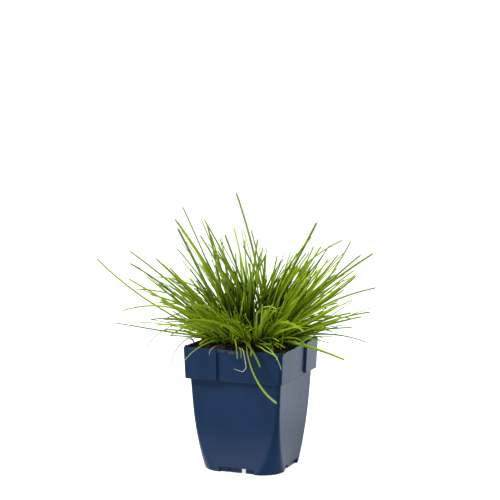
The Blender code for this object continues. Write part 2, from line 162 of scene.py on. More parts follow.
class Finish:
    """A material in the making."""

    def __init__(self, name, specular, mirrored=(1.0, 1.0, 1.0)):
        """specular is how strongly the surface mirrors, and mirrored the colour that it gives."""
        self.material = bpy.data.materials.new(name)
        self.material.use_nodes = True
        self.tree = self.material.node_tree
        self.shader = self.tree.nodes["Principled BSDF"]
        self.shader.inputs["Specular IOR Level"].default_value = specular
        self.shader.inputs["Specular Tint"].default_value = (*mirrored, 1.0)

    def feed(self, socket, value):
        if isinstance(value, Value):
            self.tree.links.new(value.socket, socket)
        elif isinstance(value, tuple) and socket.type == "RGBA":
            socket.default_value = (*value, 1.0)
        else:
            socket.default_value = value

    def node(self, kind, settings=None, sockets=None, output=0):
        made = self.tree.nodes.new("ShaderNode" + kind)
        for name, value in (settings or {}).items():
            setattr(made, name, value)
        for name, value in (sockets or {}).items():
            self.feed(made.inputs[name], value)
        return Value(self, made.outputs[output])

    def place(self, stretch=(1.0, 1.0, 1.0)):
        """Where the surface is, in metres, stretched along an axis if wanted."""
        spot = self.node("TexCoord", output="Object")
        settings = {"operation": "MULTIPLY"}
        return self.node("VectorMath", settings, {0: spot, 1: stretch})

    def noise(self, size, detail=2.0, stretch=(1.0, 1.0, 1.0)):
        """Cloudy noise from 0 to 1, with patches about size millimetres across."""
        sockets = {"Vector": self.place(stretch), "Scale": 1 / (size * MM), "Detail": detail}
        return self.node("TexNoise", None, sockets)

    def mix(self, share, first, second):
        """One colour where share is 0 and the other where it is 1."""
        return self.node("Mix", {"data_type": "RGBA"}, {0: share, 6: first, 7: second}, output=2)

    def coats(self, colour, *coats):
        """Lays coats over a colour. Each is how much of it covers what is below, and its colour."""
        for share, coat in coats:
            colour = self.mix(share, colour, coat)
        return colour

    def split(self, vector):
        """The parts of a vector along x, y and z."""
        made = self.node("SeparateXYZ", None, {0: vector}).socket.node
        return [Value(self, made.outputs[axis]) for axis in "XYZ"]

    def attribute(self, name):
        return self.node("Attribute", {"attribute_name": name}, output="Fac")

    def surface(self, colour, roughness, height=None, depth=0.0001):
        """Links the finished colour, roughness and bump, with height in units of depth metres."""
        self.feed(self.shader.inputs["Base Color"], colour)
        self.feed(self.shader.inputs["Roughness"], roughness)
        if height is not None:
            bump = self.node("Bump", None, {"Height": height, "Distance": depth})
            self.feed(self.shader.inputs["Normal"], bump)
        return self.material


print("a finish is ready to be mixed")

# %% [markdown]
# The floor is a plain pale sheet. It isn't part of the object, so it is staged. Product pictures
# are often taken on a sheet that is lit from below, which leaves almost no shadow. The same is done
# here by letting the sheet glow.

# %% Floor
PAPER_GLOW = 0.75
FLOOR_HALF = 6.0
FLOOR_DROP = 0.0002
paper = Finish("paper", 0.2)
paper_colour = paper.mix(paper.noise(400), (0.34, 0.34, 0.34), (0.38, 0.38, 0.38))
paper.surface(paper_colour, 0.9)
paper.shader.inputs["Emission Color"].default_value = (1, 1, 1, 1)
paper.shader.inputs["Emission Strength"].default_value = PAPER_GLOW

floor_mesh = bpy.data.meshes.new("floor")
corners = [(x * FLOOR_HALF, y * FLOOR_HALF, 0) for x, y in ((-1, -1), (1, -1), (1, 1), (-1, 1))]
floor_mesh.from_pydata(corners, [], [(0, 1, 2, 3)])
floor_mesh.materials.append(paper.material)
floor = bpy.data.objects.new("floor", floor_mesh)
floor.location.z = -FLOOR_DROP
bpy.context.collection.objects.link(floor)
print("floor laid")

# %% [markdown]
# ## The pot
# The real pot is one thin shell of polypropylene, blown or pressed into a mould. It is square and
# tapers down to rounded feet. A collar runs round its top, two of the collar's corners are
# thicker, and a narrow lip ends it. One way to make it is to join and cut boxes, as the CAD does.
# Here the wall is a stack of rings with the same number of points, because every edge can then be
# rounded by adding a ring, and the thicker corners can be raised out of the rings with a soft
# step. The rings run up the outside, over the rim and down the inside, so the shell is closed.
# Below the collar each side is drawn in a little in its middle, as thin moulded walls are.

# %% The pot's sizes, in millimetres
POT_HEIGHT = 131.0
SHOULDER = 97.5
COLLAR_TAPER = 1.3
LIP_HALF = 54.3
LIP_UNDER = 128.0
COLLAR_HALF = 53.1
PATCH_HALF = 55.5
PATCH_START = 17.5
PATCH_UNDER = 98.1
PATCH_CORNER = 3.5
STEP_WIDTH = 0.5
BODY_TOP_HALF = 49.9
BODY_BASE_HALF = 44.1
WALL_HOLLOW = 0.75
EDGE_RADIUS = 3.6
FOOT_RADIUS = 25.6
ROUNDING_STARTS = 76.0
ROUNDING_POWER = 2.2
WALL = 1.6
FLOOR_TOP = 6.4
CORNER_STEPS = 14
FAR_INSIDE = 99.0

# Points along half a side: the first ones stay put at every height, and the rest spread out with
# the side. They crowd where a thicker corner begins.
STILL_PLACES = (0, 3, 6, 9, 12, 14.5, 16, 16.8, 17.15, 17.38, 17.62, 17.85)
MOVING_SHARES = (0.01, 0.02, 0.035, 0.055, 0.08, 0.105, 0.13, 0.17, 0.24, 0.34, 0.46, 0.58, 0.7,
                 0.82, 0.92, 1.0)


def side_stations(straight):
    """Places along one straight side, from its start to its end."""
    last = STILL_PLACES[-1]
    half = list(STILL_PLACES) + [last + (straight - last) * share for share in MOVING_SHARES]
    return np.array([-place for place in reversed(half[1:])] + half)


def rounded_ring(half, radius, hollow=0.0):
    """A rounded square as x, y rows, and how far each point is inside a thicker corner.

    hollow is how far the middle of each side is drawn in.
    """
    stations = side_stations(half - radius)
    drawn_in = hollow * (1 - (stations / stations[-1]) ** 2)
    turns = np.linspace(0, math.pi / 2, CORNER_STEPS + 1)[1:-1]
    places, inside = [], []
    for side in range(4):
        angle = side * math.pi / 2
        along = np.array((math.cos(angle), math.sin(angle)))
        out = np.array((math.sin(angle), -math.cos(angle)))
        places.append(out * (half - drawn_in)[:, None] + along * stations[:, None])
        towards = -1 if side % 2 == 0 else 1
        inside.append(stations * towards - PATCH_START)
        centre = (out + along) * (half - radius)
        arc = out * np.cos(turns)[:, None] + along * np.sin(turns)[:, None]
        places.append(centre + arc * radius)
        inside.append(np.full(len(turns), FAR_INSIDE if side % 2 else -FAR_INSIDE))
    return np.concatenate(places), np.concatenate(inside)


print("points in a ring:", len(rounded_ring(50, 3)[0]))

# %% [markdown]
# The thicker corners end in a small round corner of their own. The step is a smooth function of
# how far a point is inside the patch, measured both along the side and up from its lower edge.

# %% Rings of the wall


def patch_share(inside, height):
    """0 on the plain collar and 1 on a thicker corner, with a narrow rounded step between."""
    up = height - PATCH_UNDER
    depth = np.minimum(inside, up)
    near = (inside < PATCH_CORNER) & (up < PATCH_CORNER)
    round_depth = PATCH_CORNER - np.hypot(PATCH_CORNER - inside, PATCH_CORNER - up)
    depth = np.where(near, round_depth, depth)
    share = np.clip(depth / STEP_WIDTH + 0.5, 0, 1)
    return share * share * (3 - 2 * share)


def wall_ring(height, half, radius, inset=None, hollow=0.0):
    """One ring of the pot. inset is how far the rim's rounding pulls in a ring that has patches."""
    ring, inside = rounded_ring(half, radius, hollow)
    if inset is not None:
        rise = (height - PATCH_UNDER) / (POT_HEIGHT - PATCH_UNDER)
        raised_half = PATCH_HALF - COLLAR_TAPER * (1 - rise) - inset
        raised, _ = rounded_ring(raised_half, radius)
        ring = ring + (raised - ring) * patch_share(inside, height)[:, None]
    return np.column_stack((ring, np.full(len(ring), height)))


def body_half(height):
    return BODY_BASE_HALF + (BODY_TOP_HALF - BODY_BASE_HALF) * height / SHOULDER


def body_radius(height):
    share = max(0.0, (ROUNDING_STARTS - height) / ROUNDING_STARTS)
    return EDGE_RADIUS + (FOOT_RADIUS - EDGE_RADIUS) * share**ROUNDING_POWER


def collar_half(height):
    return COLLAR_HALF - COLLAR_TAPER * (LIP_UNDER - height) / (LIP_UNDER - SHOULDER)


def outside_rings():
    """From the feet up to the rim."""
    rings = []
    foot = {0: 0.7, 0.15: 0.4, 0.4: 0.15, 0.8: 0}
    body = (1.4, 3, 5, 7, 10, 14, 18, 22, 27, 32, 37, 43, 50, 58, 67, 76, 86, 93, 96.6)
    for height in (*foot, *body):
        inset = foot.get(height, 0)
        half, radius = body_half(height) - inset, body_radius(height) - inset
        rings.append(wall_ring(height, half, radius, hollow=WALL_HOLLOW))
    for height, out in ((97.2, 0.02), (97.45, 0.2), (97.5, 0.6), (97.5, 1.4), (97.6, 1.75)):
        rings.append(wall_ring(height, BODY_TOP_HALF + out, EDGE_RADIUS, hollow=WALL_HOLLOW))
    collar = [97.7, 97.84, 97.94, 98.04, 98.14, 98.24, 98.38, 98.7, 99.1, 99.5, 99.9, 100.3, 100.7]
    collar += [101.1, 101.6, 103, 106, 110, 115, 120, 124, 127, 127.7, 127.92]
    for height in collar:
        rings.append(wall_ring(height, collar_half(height), EDGE_RADIUS, 0.0))
    lip = ((128.0, 0.9), (128.02, 0.3), (128.15, 0.07), (128.5, 0), (130.1, 0), (130.5, 0.07))
    lip += ((130.78, 0.25), (130.94, 0.5), (131.0, 0.85))
    for height, inset in lip:
        top_inset = inset if height > 130 else 0.0
        rings.append(wall_ring(height, LIP_HALF - inset, EDGE_RADIUS, top_inset))
    return rings


def inside_rings(inset, lowest):
    """From the rim down to the pot's floor, or the same set further in for what fills the pot."""
    inner = EDGE_RADIUS - WALL
    rings = []
    for height, spread in ((131.0, 0.75), (130.95, 0.4), (130.75, 0.15), (130.4, 0.02)):
        rings.append(wall_ring(height, COLLAR_HALF - WALL + spread - inset, inner - inset))
    for height in (128, 115, 104, 99.1):
        rings.append(wall_ring(height, collar_half(height) - WALL - inset, inner - inset))
    rings.append(wall_ring(SHOULDER - WALL, BODY_TOP_HALF - WALL - inset, inner - inset))
    for height in (86, 76, 66, 56, 42, 31, 22, 14, 8):
        half = body_half(height) - WALL - inset
        rings.append(wall_ring(height, half, max(body_radius(height) - WALL - inset, 0.5)))
    half = body_half(lowest) - WALL - inset
    rings.append(wall_ring(lowest, half, body_radius(lowest) - WALL - inset))
    return rings


print("rings on the outside:", len(outside_rings()))

# %% [markdown]
# A helper stacks the rings into a mesh. Quads join each ring to the next, and one flat face
# closes each end. Smooth shading with a limit on the angle keeps the real edges crisp. The same
# helpers serve every other swept form below: cutters, threads, leaves and sheaths.

# %% Stack rings into a closed mesh
SMOOTH_LIMIT = math.radians(33)
ROUND_LIMIT = math.radians(50)
THREAD_LIMIT = math.radians(60)


def tube_faces(rings, corners):
    """Faces of a closed tube of rings, each with the same number of corners."""
    faces = []
    for ring in range(rings - 1):
        for i in range(corners):
            after = (i + 1) % corners
            low, high = ring * corners, (ring + 1) * corners
            faces.append((low + i, low + after, high + after, high + i))
    last = (rings - 1) * corners
    faces.append(tuple(reversed(range(corners))))
    faces.append(tuple(range(last, last + corners)))
    return faces


def circle(middle, side, above, radius, corners):
    """Points round a middle, in the plane of two directions."""
    turns = [math.tau * corner / corners for corner in range(corners)]
    return [middle + (side * math.cos(turn) + above * math.sin(turn)) * radius for turn in turns]


def frames(route, side):
    """Each place of a route: its share of the way, its direction and a side square to that."""
    last = len(route) - 1
    for i, place in enumerate(route):
        along = (route[min(i + 1, last)] - route[max(i - 1, 0)]).normalized()
        side = (side - along * side.dot(along)).normalized()
        yield i / last, place, along, side


def stacked_mesh(name, rings):
    mesh = bpy.data.meshes.new(name)
    points = np.concatenate(rings) * MM
    mesh.from_pydata(points.tolist(), [], tube_faces(len(rings), len(rings[0])))
    mesh.validate()
    return mesh


def show(name, mesh, finish, node):
    """Adds a piece: its finish, the CAD node that it stands for, and the body that it rides on."""
    mesh.materials.clear()
    mesh.materials.append(finish)
    piece = bpy.data.objects.new(name, mesh)
    bpy.context.collection.objects.link(piece)
    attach(piece, "root")
    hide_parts(node)
    return piece


def smooth(mesh, limit):
    mesh.shade_smooth()
    mesh.set_sharp_from_angle(angle=limit)


print("rings can be stacked")

# %% [markdown]
# ### The pot's base
# Between its four rounded feet the pot's wall is set back and lifted, and a notch in the middle
# lets water run out. A second, shallow notch beside it is blind. Underneath there is a shallow
# pocket with five drain holes. These are cut out of the shell with Boolean modifiers, because a
# hole has to go right through. The manifold solver is fast and never leaves an open edge. The
# cutters are stacks of rings too, and where two of them meet, they end at different heights.

# %% Cutters for the base
RECESS = (-19.5, 19.5)
RECESS_DEPTH = 2.4
RECESS_HEIGHT = 5.6
RECESS_RISE = 0.3
NOTCH = (4.0, 9.6)
NOTCH_LENGTH = 12.0
BLIND_NOTCH = (-9.7, -8.3)
BLIND_DEPTH = 1.6
FLOOR_UNDER = 4.6
POCKET_INSET = 6.0
DRAIN_RADIUS = 4.5
DRAIN_OUT = 17.0
DRAIN_REACH = 10.0
DRAIN_CORNERS = 36


def box_mesh(low, high):
    """A box from its lowest to its highest corner, in millimetres."""
    (left, front, bottom), (right, back, top) = low, high
    spots = ((left, front), (right, front), (right, back), (left, back))
    rings = [np.array([(x, y, height) for x, y in spots]) for height in (bottom, top)]
    return stacked_mesh("box_cutter", rings)


def drain_mesh(x, y):
    plane = Vector((1, 0, 0)), Vector((0, 1, 0))
    middles = [Vector((x, y, FLOOR_UNDER + rise)) for rise in (-DRAIN_REACH, DRAIN_REACH)]
    rings = [circle(middle, *plane, DRAIN_RADIUS, DRAIN_CORNERS) for middle in middles]
    return stacked_mesh("drain_cutter", rings)


def base_cutter_meshes():
    meshes = []
    face = -BODY_BASE_HALF
    wall = face + RECESS_DEPTH
    for turn, along in ((0, 1), (1, -1), (2, 1), (3, -1)):
        ends = [sorted((a * along, b * along)) for a, b in (RECESS, NOTCH, BLIND_NOTCH)]
        recess, notch, blind = ends
        boxes = (
            ((recess[0], face - 5, -2), (recess[1], wall, RECESS_HEIGHT)),
            ((recess[0] + 1, wall - 1, -3), (recess[1] - 1, wall + 3, RECESS_RISE)),
            ((notch[0], wall - 2, -4), (notch[1], wall + NOTCH_LENGTH, RECESS_HEIGHT - 0.2)),
            ((blind[0], wall - 3, -5), (blind[1], wall + BLIND_DEPTH, RECESS_HEIGHT - 0.4)),
        )
        for low, high in boxes:
            mesh = box_mesh(low, high)
            mesh.transform(Matrix.Rotation(turn * math.pi / 2, 4, "Z"))
            meshes.append(mesh)
    return meshes


def underside_cutter_meshes():
    half, radius = BODY_BASE_HALF - POCKET_INSET, FOOT_RADIUS - POCKET_INSET
    pocket = [wall_ring(height, half, radius) for height in (-2, FLOOR_UNDER)]
    drains = [(0, 0)] + [(x * DRAIN_OUT, y * DRAIN_OUT) for x in (-1, 1) for y in (-1, 1)]
    return [stacked_mesh("pocket_cutter", pocket)] + [drain_mesh(x, y) for x, y in drains]


def cut_out(mesh, cutter_meshes):
    """Cuts the cutters out of a mesh and gives the finished mesh."""
    block = bpy.data.objects.new("to_cut", mesh)
    bpy.context.collection.objects.link(block)
    cutters = []
    for cutter_mesh in cutter_meshes:
        cutter = bpy.data.objects.new("cutter", cutter_mesh)
        bpy.context.collection.objects.link(cutter)
        step = block.modifiers.new("cut", "BOOLEAN")
        step.object = cutter
        step.operation = "DIFFERENCE"
        step.solver = "MANIFOLD"
        cutters.append(cutter)
    graph = bpy.context.evaluated_depsgraph_get()
    finished = bpy.data.meshes.new_from_object(block.evaluated_get(graph))
    for spent in [block, *cutters]:
        bpy.data.objects.remove(spent)
    return finished


shell = stacked_mesh("pot_shell", outside_rings() + inside_rings(0, FLOOR_TOP))
pot_mesh = cut_out(shell, base_cutter_meshes() + underside_cutter_meshes())
smooth(pot_mesh, SMOOTH_LIMIT)
print("pot faces:", len(pot_mesh.polygons))

# %% [markdown]
# ### The pot's plastic
# The plastic is a deep navy blue with a satin skin. Seen head on it is almost black-blue, and
# seen along the surface it turns grey, because it then mirrors the white studio. That comes from
# the shader's own reflection, so the colour itself must be dark. On top of it lie the things that
# show it was handled: faint streaks from the mould, a film of dust that is thicker near the
# ground, a scuff in the middle of the front rim, and a fine grain that spreads the gloss. Thin
# pale lines in places along the rim's top edge, under the lip and on the collar's lower edge are
# painted highlights. The side at the right is painted paler at its foot and on its thicker corner,
# a painted reflection. The flat sides are a little grey, and the rounded corners are kept deep
# blue, which is painted shade. A corner is where the surface faces two sides at once, so the
# product of the two parts of its direction finds it, whatever its radius.

# %% Satin blue plastic
RIM_EDGE = 0.1308
SCUFF_HEIGHT = 0.1283
UNDER_LIP = 0.1271
COLLAR_EDGE = 0.0983
COLLAR_UNDER = 0.0977
DUST_TOP = 0.055
plastic = Finish("satin_blue_plastic", 0.075, mirrored=(0.62, 0.82, 1.0))
streaks = plastic.noise(9, 3.0, (1.0, 1.0, 0.06))
clouds = plastic.noise(38, 3.0)
specks = plastic.noise(1.1, 2.0).between(0.66, 0.76)
sideways, away, height_up = plastic.split(plastic.place())
towards_x, towards_y, _ = plastic.split(plastic.node("TexCoord", output="Normal"))
# The rounded corners are kept deep blue as painted shade: the grey film is mostly taken off them
# below.
corner = (towards_x * towards_y).math("ABSOLUTE").between(0.02, 0.30)
right_side = towards_x.between(0.5, 0.9) * (1 - corner)
near_ground = 1 - height_up.between(0.0, DUST_TOP)

# Painted highlights on the rim, under the lip and on the collar's lower edge; the scuff is real
# wear.
scuff = height_up.near(SCUFF_HEIGHT, 0.0028) * sideways.near(-0.003, 0.016) * 1.2
highlit_edges_and_scuff = height_up.near(RIM_EDGE, 0.0008) * 0.1 + height_up.near(UNDER_LIP, 0.0008) * 0.14 + scuff
highlit_edges_and_scuff = highlit_edges_and_scuff + height_up.near(COLLAR_EDGE, 0.0007) * 0.12
# The right side is painted paler at its foot and on its thicker corner, a painted reflection.
scuff_and_painted_sheen = highlit_edges_and_scuff * plastic.noise(6, 2.0).between(0.35, 0.6) + right_side * near_ground * 0.2
scuff_and_painted_sheen = scuff_and_painted_sheen + right_side * away.between(0.020, 0.023) * height_up.between(0.096, 0.099) * 0.2
# Dust, thicker near the ground; the painted highlights, reflection and corner shade join it.
dust_and_painted_light = near_ground * 0.18 + clouds * 0.02 + 0.058
dust_and_painted_light = dust_and_painted_light * (1 - corner * 0.85) + specks * 0.03 + scuff_and_painted_sheen

navy = plastic.mix(clouds.between(0.3, 0.7), (0.0010, 0.0098, 0.0315), (0.0012, 0.0114, 0.0360))
plastic_colour = plastic.coats(
    navy,
    (streaks.between(0.35, 0.75) * 0.30, (0.0017, 0.0132, 0.0410)),
    (near_ground * 0.45, (0.0022, 0.0190, 0.0620)),
    (dust_and_painted_light, (0.050, 0.046, 0.045)),
)
dull_edges = height_up.near(COLLAR_UNDER, 0.0007) + height_up.between(0.1302, RIM_EDGE)
plastic_roughness = 0.19 + clouds * 0.07 + streaks * 0.07 + dull_edges * 0.5
grain = plastic.noise(0.35, 1.0) * 0.25 + streaks * 0.9 + clouds * 0.7
plastic.surface(plastic_colour, plastic_roughness, grain, 0.00012)
pot = show("square_pot", pot_mesh, plastic.material, "pot")
print("pot finished:", [round(v, 4) for v in pot.dimensions])

# %% [markdown]
# ## The compost
# Potting compost is a loose heap of peat crumbs, bark and fine roots. A displaced surface gives
# its lumps, and real little shapes on top give the crumbs and fibres that catch the light. All of
# them are gathered into one mesh, because thousands of objects would be slow.

# %% A heap of small shapes in one mesh


class Heap:
    """Gathers many small shapes, with values on their points, into one mesh."""

    def __init__(self, *value_names):
        self.points = []
        self.faces = []
        self.values = {name: [] for name in value_names}
        self.count = 0

    def add(self, points, faces, **values):
        self.points.append(points)
        self.faces += [tuple(index + self.count for index in face) for face in faces]
        for name, found in self.values.items():
            given = values.get(name, 0.0)
            found.append(np.broadcast_to(given, (len(points),)))
        self.count += len(points)

    def mesh(self, name, limit):
        made = bpy.data.meshes.new(name)
        made.from_pydata(np.concatenate(self.points).tolist(), [], self.faces)
        for value_name, found in self.values.items():
            layer = made.attributes.new(value_name, "FLOAT", "POINT")
            layer.data.foreach_set("value", np.concatenate(found).astype(np.float32))
        smooth(made, limit)
        return made


def add_thread(heap, route, thickness, corners=5, **values):
    """A thin round thread along a route, pointed at both ends."""
    side = Vector((0.3, 0.5, 0.8)).cross(route[-1] - route[0]).normalized()
    rows = []
    for share, place, along, side in frames(route, side):
        half = thickness / 2 * (0.35 + 0.65 * math.sin(math.pi * min(max(share, 0.02), 0.98)))
        rows += circle(place, side, side.cross(along), half, corners)
    heap.add(np.array(rows), tube_faces(len(route), corners), **values)


print("a heap can be filled")

# %% [markdown]
# The height of the compost is the CAD's own function, so that the fine surface lies on the solid:
# just below the rim at the edge and rising a little towards the crown of the plant. Small lumps of
# noise are added on top of it.

# %% The compost's surface
SOIL_EDGE = 129.6
SOIL_CROWN = 134.0
CROWN_PLATEAU = 39.0
LUMP = 1.2
GAP = 0.3
SKIRT = 6.0
RIM_RINGS = 5
SOIL_HALF = COLLAR_HALF - WALL - GAP
SOIL_CELLS = 150


def soil_height(x, y):
    """Height of the compost, in millimetres: just below the rim, and higher round the crown."""
    out = max(abs(x), abs(y), math.hypot(x, y) * 0.86)
    share = min(1.0, max(0.0, (COLLAR_HALF - out) / (COLLAR_HALF - CROWN_PLATEAU)))
    rise = share * share * (3 - 2 * share)
    lumps = noise.noise(Vector((x * 0.11, y * 0.11, 4.2))) * LUMP * (1 - rise)
    return SOIL_EDGE + (SOIL_CROWN - SOIL_EDGE) * rise + lumps


def rough_soil_height(x, y):
    """The same with the lumps of single crumbs."""
    lumps = noise.noise(Vector((x * 0.28, y * 0.28, 1.0))) * 1.0
    crumbs = noise.noise(Vector((x * 0.8, y * 0.8, 7.0))) * 0.65
    fine = noise.noise(Vector((x * 1.9, y * 1.9, 3.0))) * 0.3
    return soil_height(x, y) + lumps + crumbs + fine - 0.2


def soil_surface():
    """A fine square sheet of compost with a skirt, as one closed mesh."""
    steps = np.linspace(-SOIL_HALF, SOIL_HALF, SOIL_CELLS + 1)
    corner = SOIL_HALF - EDGE_RADIUS + WALL + GAP
    points, index = [], {}
    for layer in (0, 1):
        for i, x in enumerate(steps):
            for j, y in enumerate(steps):
                edge = i in (0, SOIL_CELLS) or j in (0, SOIL_CELLS)
                if layer and not edge:
                    continue
                past = Vector((max(abs(x) - corner, 0), max(abs(y) - corner, 0)))
                pull = 1.0
                if past.length > SOIL_HALF - corner:
                    pull = (SOIL_HALF - corner) / past.length
                px = math.copysign(abs(x) - past.x * (1 - pull), x)
                py = math.copysign(abs(y) - past.y * (1 - pull), y)
                height = SOIL_EDGE - SKIRT if layer else rough_soil_height(px, py)
                index[layer, i, j] = len(points)
                points.append((px * MM, py * MM, height * MM))
    faces = [
        (index[0, i, j], index[0, i + 1, j], index[0, i + 1, j + 1], index[0, i, j + 1])
        for i in range(SOIL_CELLS) for j in range(SOIL_CELLS)
    ]
    last = SOIL_CELLS
    border = [(i, 0) for i in range(last)] + [(last, j) for j in range(last)]
    border += [(i, last) for i in range(last, 0, -1)] + [(0, j) for j in range(last, 0, -1)]
    for (i, j), (k, m) in zip(border, border[1:] + border[:1]):
        faces.append((index[0, i, j], index[1, i, j], index[1, k, m], index[0, k, m]))
    faces.append(tuple(index[1, i, j] for i, j in reversed(border)))
    return np.array(points), faces


def soil_filling():
    """The compost below the surface, which shows only through the drain holes."""
    rings = inside_rings(GAP, FLOOR_TOP + GAP)[RIM_RINGS:]
    rows = np.concatenate(list(reversed(rings))) * MM
    return rows, tube_faces(len(rings), len(rings[0]))


compost_heap = Heap("shade", "fibre")
compost_heap.add(*soil_surface(), shade=0.5)
compost_heap.add(*soil_filling(), shade=0.5)
print("compost points:", compost_heap.count)

# %% [markdown]
# Crumbs are lumpy little balls. Two balls are made once, a plain and a fine one, and each crumb is
# a copy that noise has pushed out of shape, flattened and turned. They lie on the surface by the
# same height function. Fibres are short bent threads. Larger clods lie near the edge, a twig stands
# up at the left, and crumbs lie on the rim, mostly at the left and at the right.

# %% Crumbs and fibres
FINE_FROM = 0.9
RIM_CRUMBS = 170
CRUMBS = 1500
FIBRES = 260
FIBRE_STEPS = 6
chance = random.Random(5)


def ball(subdivisions):
    bm = bmesh.new()
    bmesh.ops.create_icosphere(bm, subdivisions=subdivisions, radius=1.0)
    points = np.array([vertex.co for vertex in bm.verts])
    faces = [tuple(vertex.index for vertex in face.verts) for face in bm.faces]
    bm.free()
    return points, faces


BALLS = [ball(1), ball(2)]


def on_soil(x, y):
    return x, y, rough_soil_height(x, y)


def on_rim(x, y):
    return x, y, POT_HEIGHT


def add_crumb(heap, spot, size, lift, shade, fine=False):
    """One crumb, in millimetres. lift is how far its middle is above the spot, in its own sizes."""
    points, faces = BALLS[fine or size > FINE_FROM]
    shift = Vector([chance.uniform(-50, 50) for _ in range(3)])
    swell = [0.75 + 0.5 * noise.noise(Vector(point) * 1.3 + shift) for point in points]
    shape = points * np.array(swell)[:, None]
    shape = shape * np.array([chance.uniform(0.6, 1.2), chance.uniform(0.6, 1.2), 0.7])
    turn = Matrix.Rotation(chance.uniform(0, math.tau), 3, "Z")
    turn = turn @ Matrix.Rotation(chance.gauss(0, 0.5), 3, "X")
    middle = np.array(spot) + (0, 0, size * lift)
    heap.add((shape @ np.array(turn).T * size + middle) * MM, faces, shade=shade)


def scatter_crumbs(heap, number):
    reach = SOIL_HALF - 0.8
    for _ in range(number):
        x = chance.uniform(-1, 1) * reach
        y = chance.uniform(-1, 1) * reach
        size = chance.choice((0.5, 0.6, 0.7, 0.9, 1.2)) * chance.uniform(0.7, 1.2)
        add_crumb(heap, on_soil(x, y), size, 0.15, chance.uniform(0, 1))


def scatter_fibres(heap, number):
    reach = SOIL_HALF - 6
    for _ in range(number):
        x = chance.uniform(-1, 1) * reach
        y = chance.uniform(-1, 1) * reach
        heading = chance.uniform(0, math.tau)
        length = chance.uniform(3, 13)
        bend = chance.gauss(0, 0.5)
        route = []
        for step in range(FIBRE_STEPS + 1):
            share = step / FIBRE_STEPS
            px = x + math.cos(heading + bend * share) * length * (share - 0.5)
            py = y + math.sin(heading + bend * share) * length * (share - 0.5)
            px = max(-SOIL_HALF, min(SOIL_HALF, px))
            py = max(-SOIL_HALF, min(SOIL_HALF, py))
            lift = 0.35 + math.sin(math.pi * share) * chance.uniform(0.1, 0.9)
            route.append(Vector((px, py, rough_soil_height(px, py) + lift)) * MM)
        thickness = chance.uniform(0.18, 0.45) * MM
        add_thread(heap, route, thickness, shade=chance.uniform(0, 1), fibre=1.0)


scatter_crumbs(compost_heap, CRUMBS)
scatter_fibres(compost_heap, FIBRES)
print("crumbs and fibres:", CRUMBS, FIBRES)

# %% Clods, the twig and what lies on the rim
CLODS = ((-47, -29, 2.6), (-45, -36, 2.2), (-48, -20, 2.4), (-43, -41, 2.0), (-48.5, -8, 1.8),
         (44, -44, 2.2), (38, -47.5, 1.8), (12, -47, 2.0), (-3, -48, 1.8), (47.5, -30, 2.0),
         (-50, -40, 2.2), (-50.5, -32, 2.6), (-51, -24, 2.4), (-50, -15, 2.6), (-50.5, -4, 2.2),
         (-30, -49.5, 1.8), (-16, -49, 1.9), (23, -49.5, 1.7))
TWIG = ((-60, -22, 131), (-60.6, -22, 135), (-61.8, -22, 137.3), (-63.5, -22, 138.2),
        (-65, -23, 137.2))
TWIG_THICKNESS = 2.0
RIM_BITS = ((52.6, -14, 1.1), (53.0, -11, 0.9), (52.2, -8.5, 1.2), (53.2, -6, 0.8),
            (50.9, 26, 1.2), (52.4, 31, 0.9), (51.6, 36.5, 0.8), (52.1, 42, 1.0), (-52, -30, 0.8),
            (-20, -52.3, 0.6), (33, -52.2, 0.6), (-49, 52.6, 0.9))
for x, y, size in CLODS:
    add_crumb(compost_heap, on_soil(x, y), size, 0.45, 0.25, fine=True)
add_thread(compost_heap, [view_to_pot(*place) for place in TWIG], TWIG_THICKNESS * MM, shade=0.1)
for x, y, size in RIM_BITS:
    add_crumb(compost_heap, on_rim(x, y), size, 0.2, 0.15, fine=True)
for _ in range(RIM_CRUMBS):
    y = chance.uniform(-51, 6)
    size = chance.uniform(0.6, 1.7) * (1 - 0.5 * (y + 51) / 57)
    add_crumb(compost_heap, on_rim(chance.gauss(-53.1, 0.9), y), size, 0.3, chance.uniform(0, 0.6))
for _ in range(RIM_CRUMBS // 2):
    size = chance.uniform(0.4, 1.0)
    spot = on_rim(chance.uniform(-54, 46), chance.gauss(-52.7, 0.6))
    add_crumb(compost_heap, spot, size, 0.2, chance.uniform(0, 0.6))
for _ in range(RIM_CRUMBS // 2):
    y = chance.uniform(-53, 30)
    size = chance.uniform(0.6, 1.2) * (1.8 if y < -14 else 1.0)
    add_crumb(compost_heap, on_rim(chance.gauss(53.2, 0.7), y), size, 0.25, chance.uniform(0, 0.6))
compost_mesh = compost_heap.mesh("compost_heap", ROUND_LIMIT)
print("compost faces:", len(compost_mesh.polygons))

# %% [markdown]
# Damp peat is nearly black-brown and dull. Crumbs differ, so a value on each crumb's points picks
# its shade, and the fibres are lighter, like dry bark. Patches of moss make it greener.

# %% Compost finish
peat = Finish("damp_peat", 0.08)
patches = peat.noise(7, 3.0)
shades = peat.attribute("shade") * 0.6 + patches * 0.4
peat_colour = peat.coats(
    peat.mix(shades, (0.0020, 0.0011, 0.0005), (0.0140, 0.0072, 0.0028)),
    (peat.attribute("fibre") * 0.7, (0.052, 0.029, 0.012)),
    (peat.noise(13, 2.0).between(0.52, 0.68) * 0.45, (0.034, 0.031, 0.004)),
)
peat.surface(peat_colour, 0.78 + patches * 0.2, peat.noise(0.5, 3.0), 0.0003)
compost = show("compost_with_crumbs", compost_mesh, peat.material, "soil")
print("compost finished:", [round(v, 4) for v in compost.dimensions])

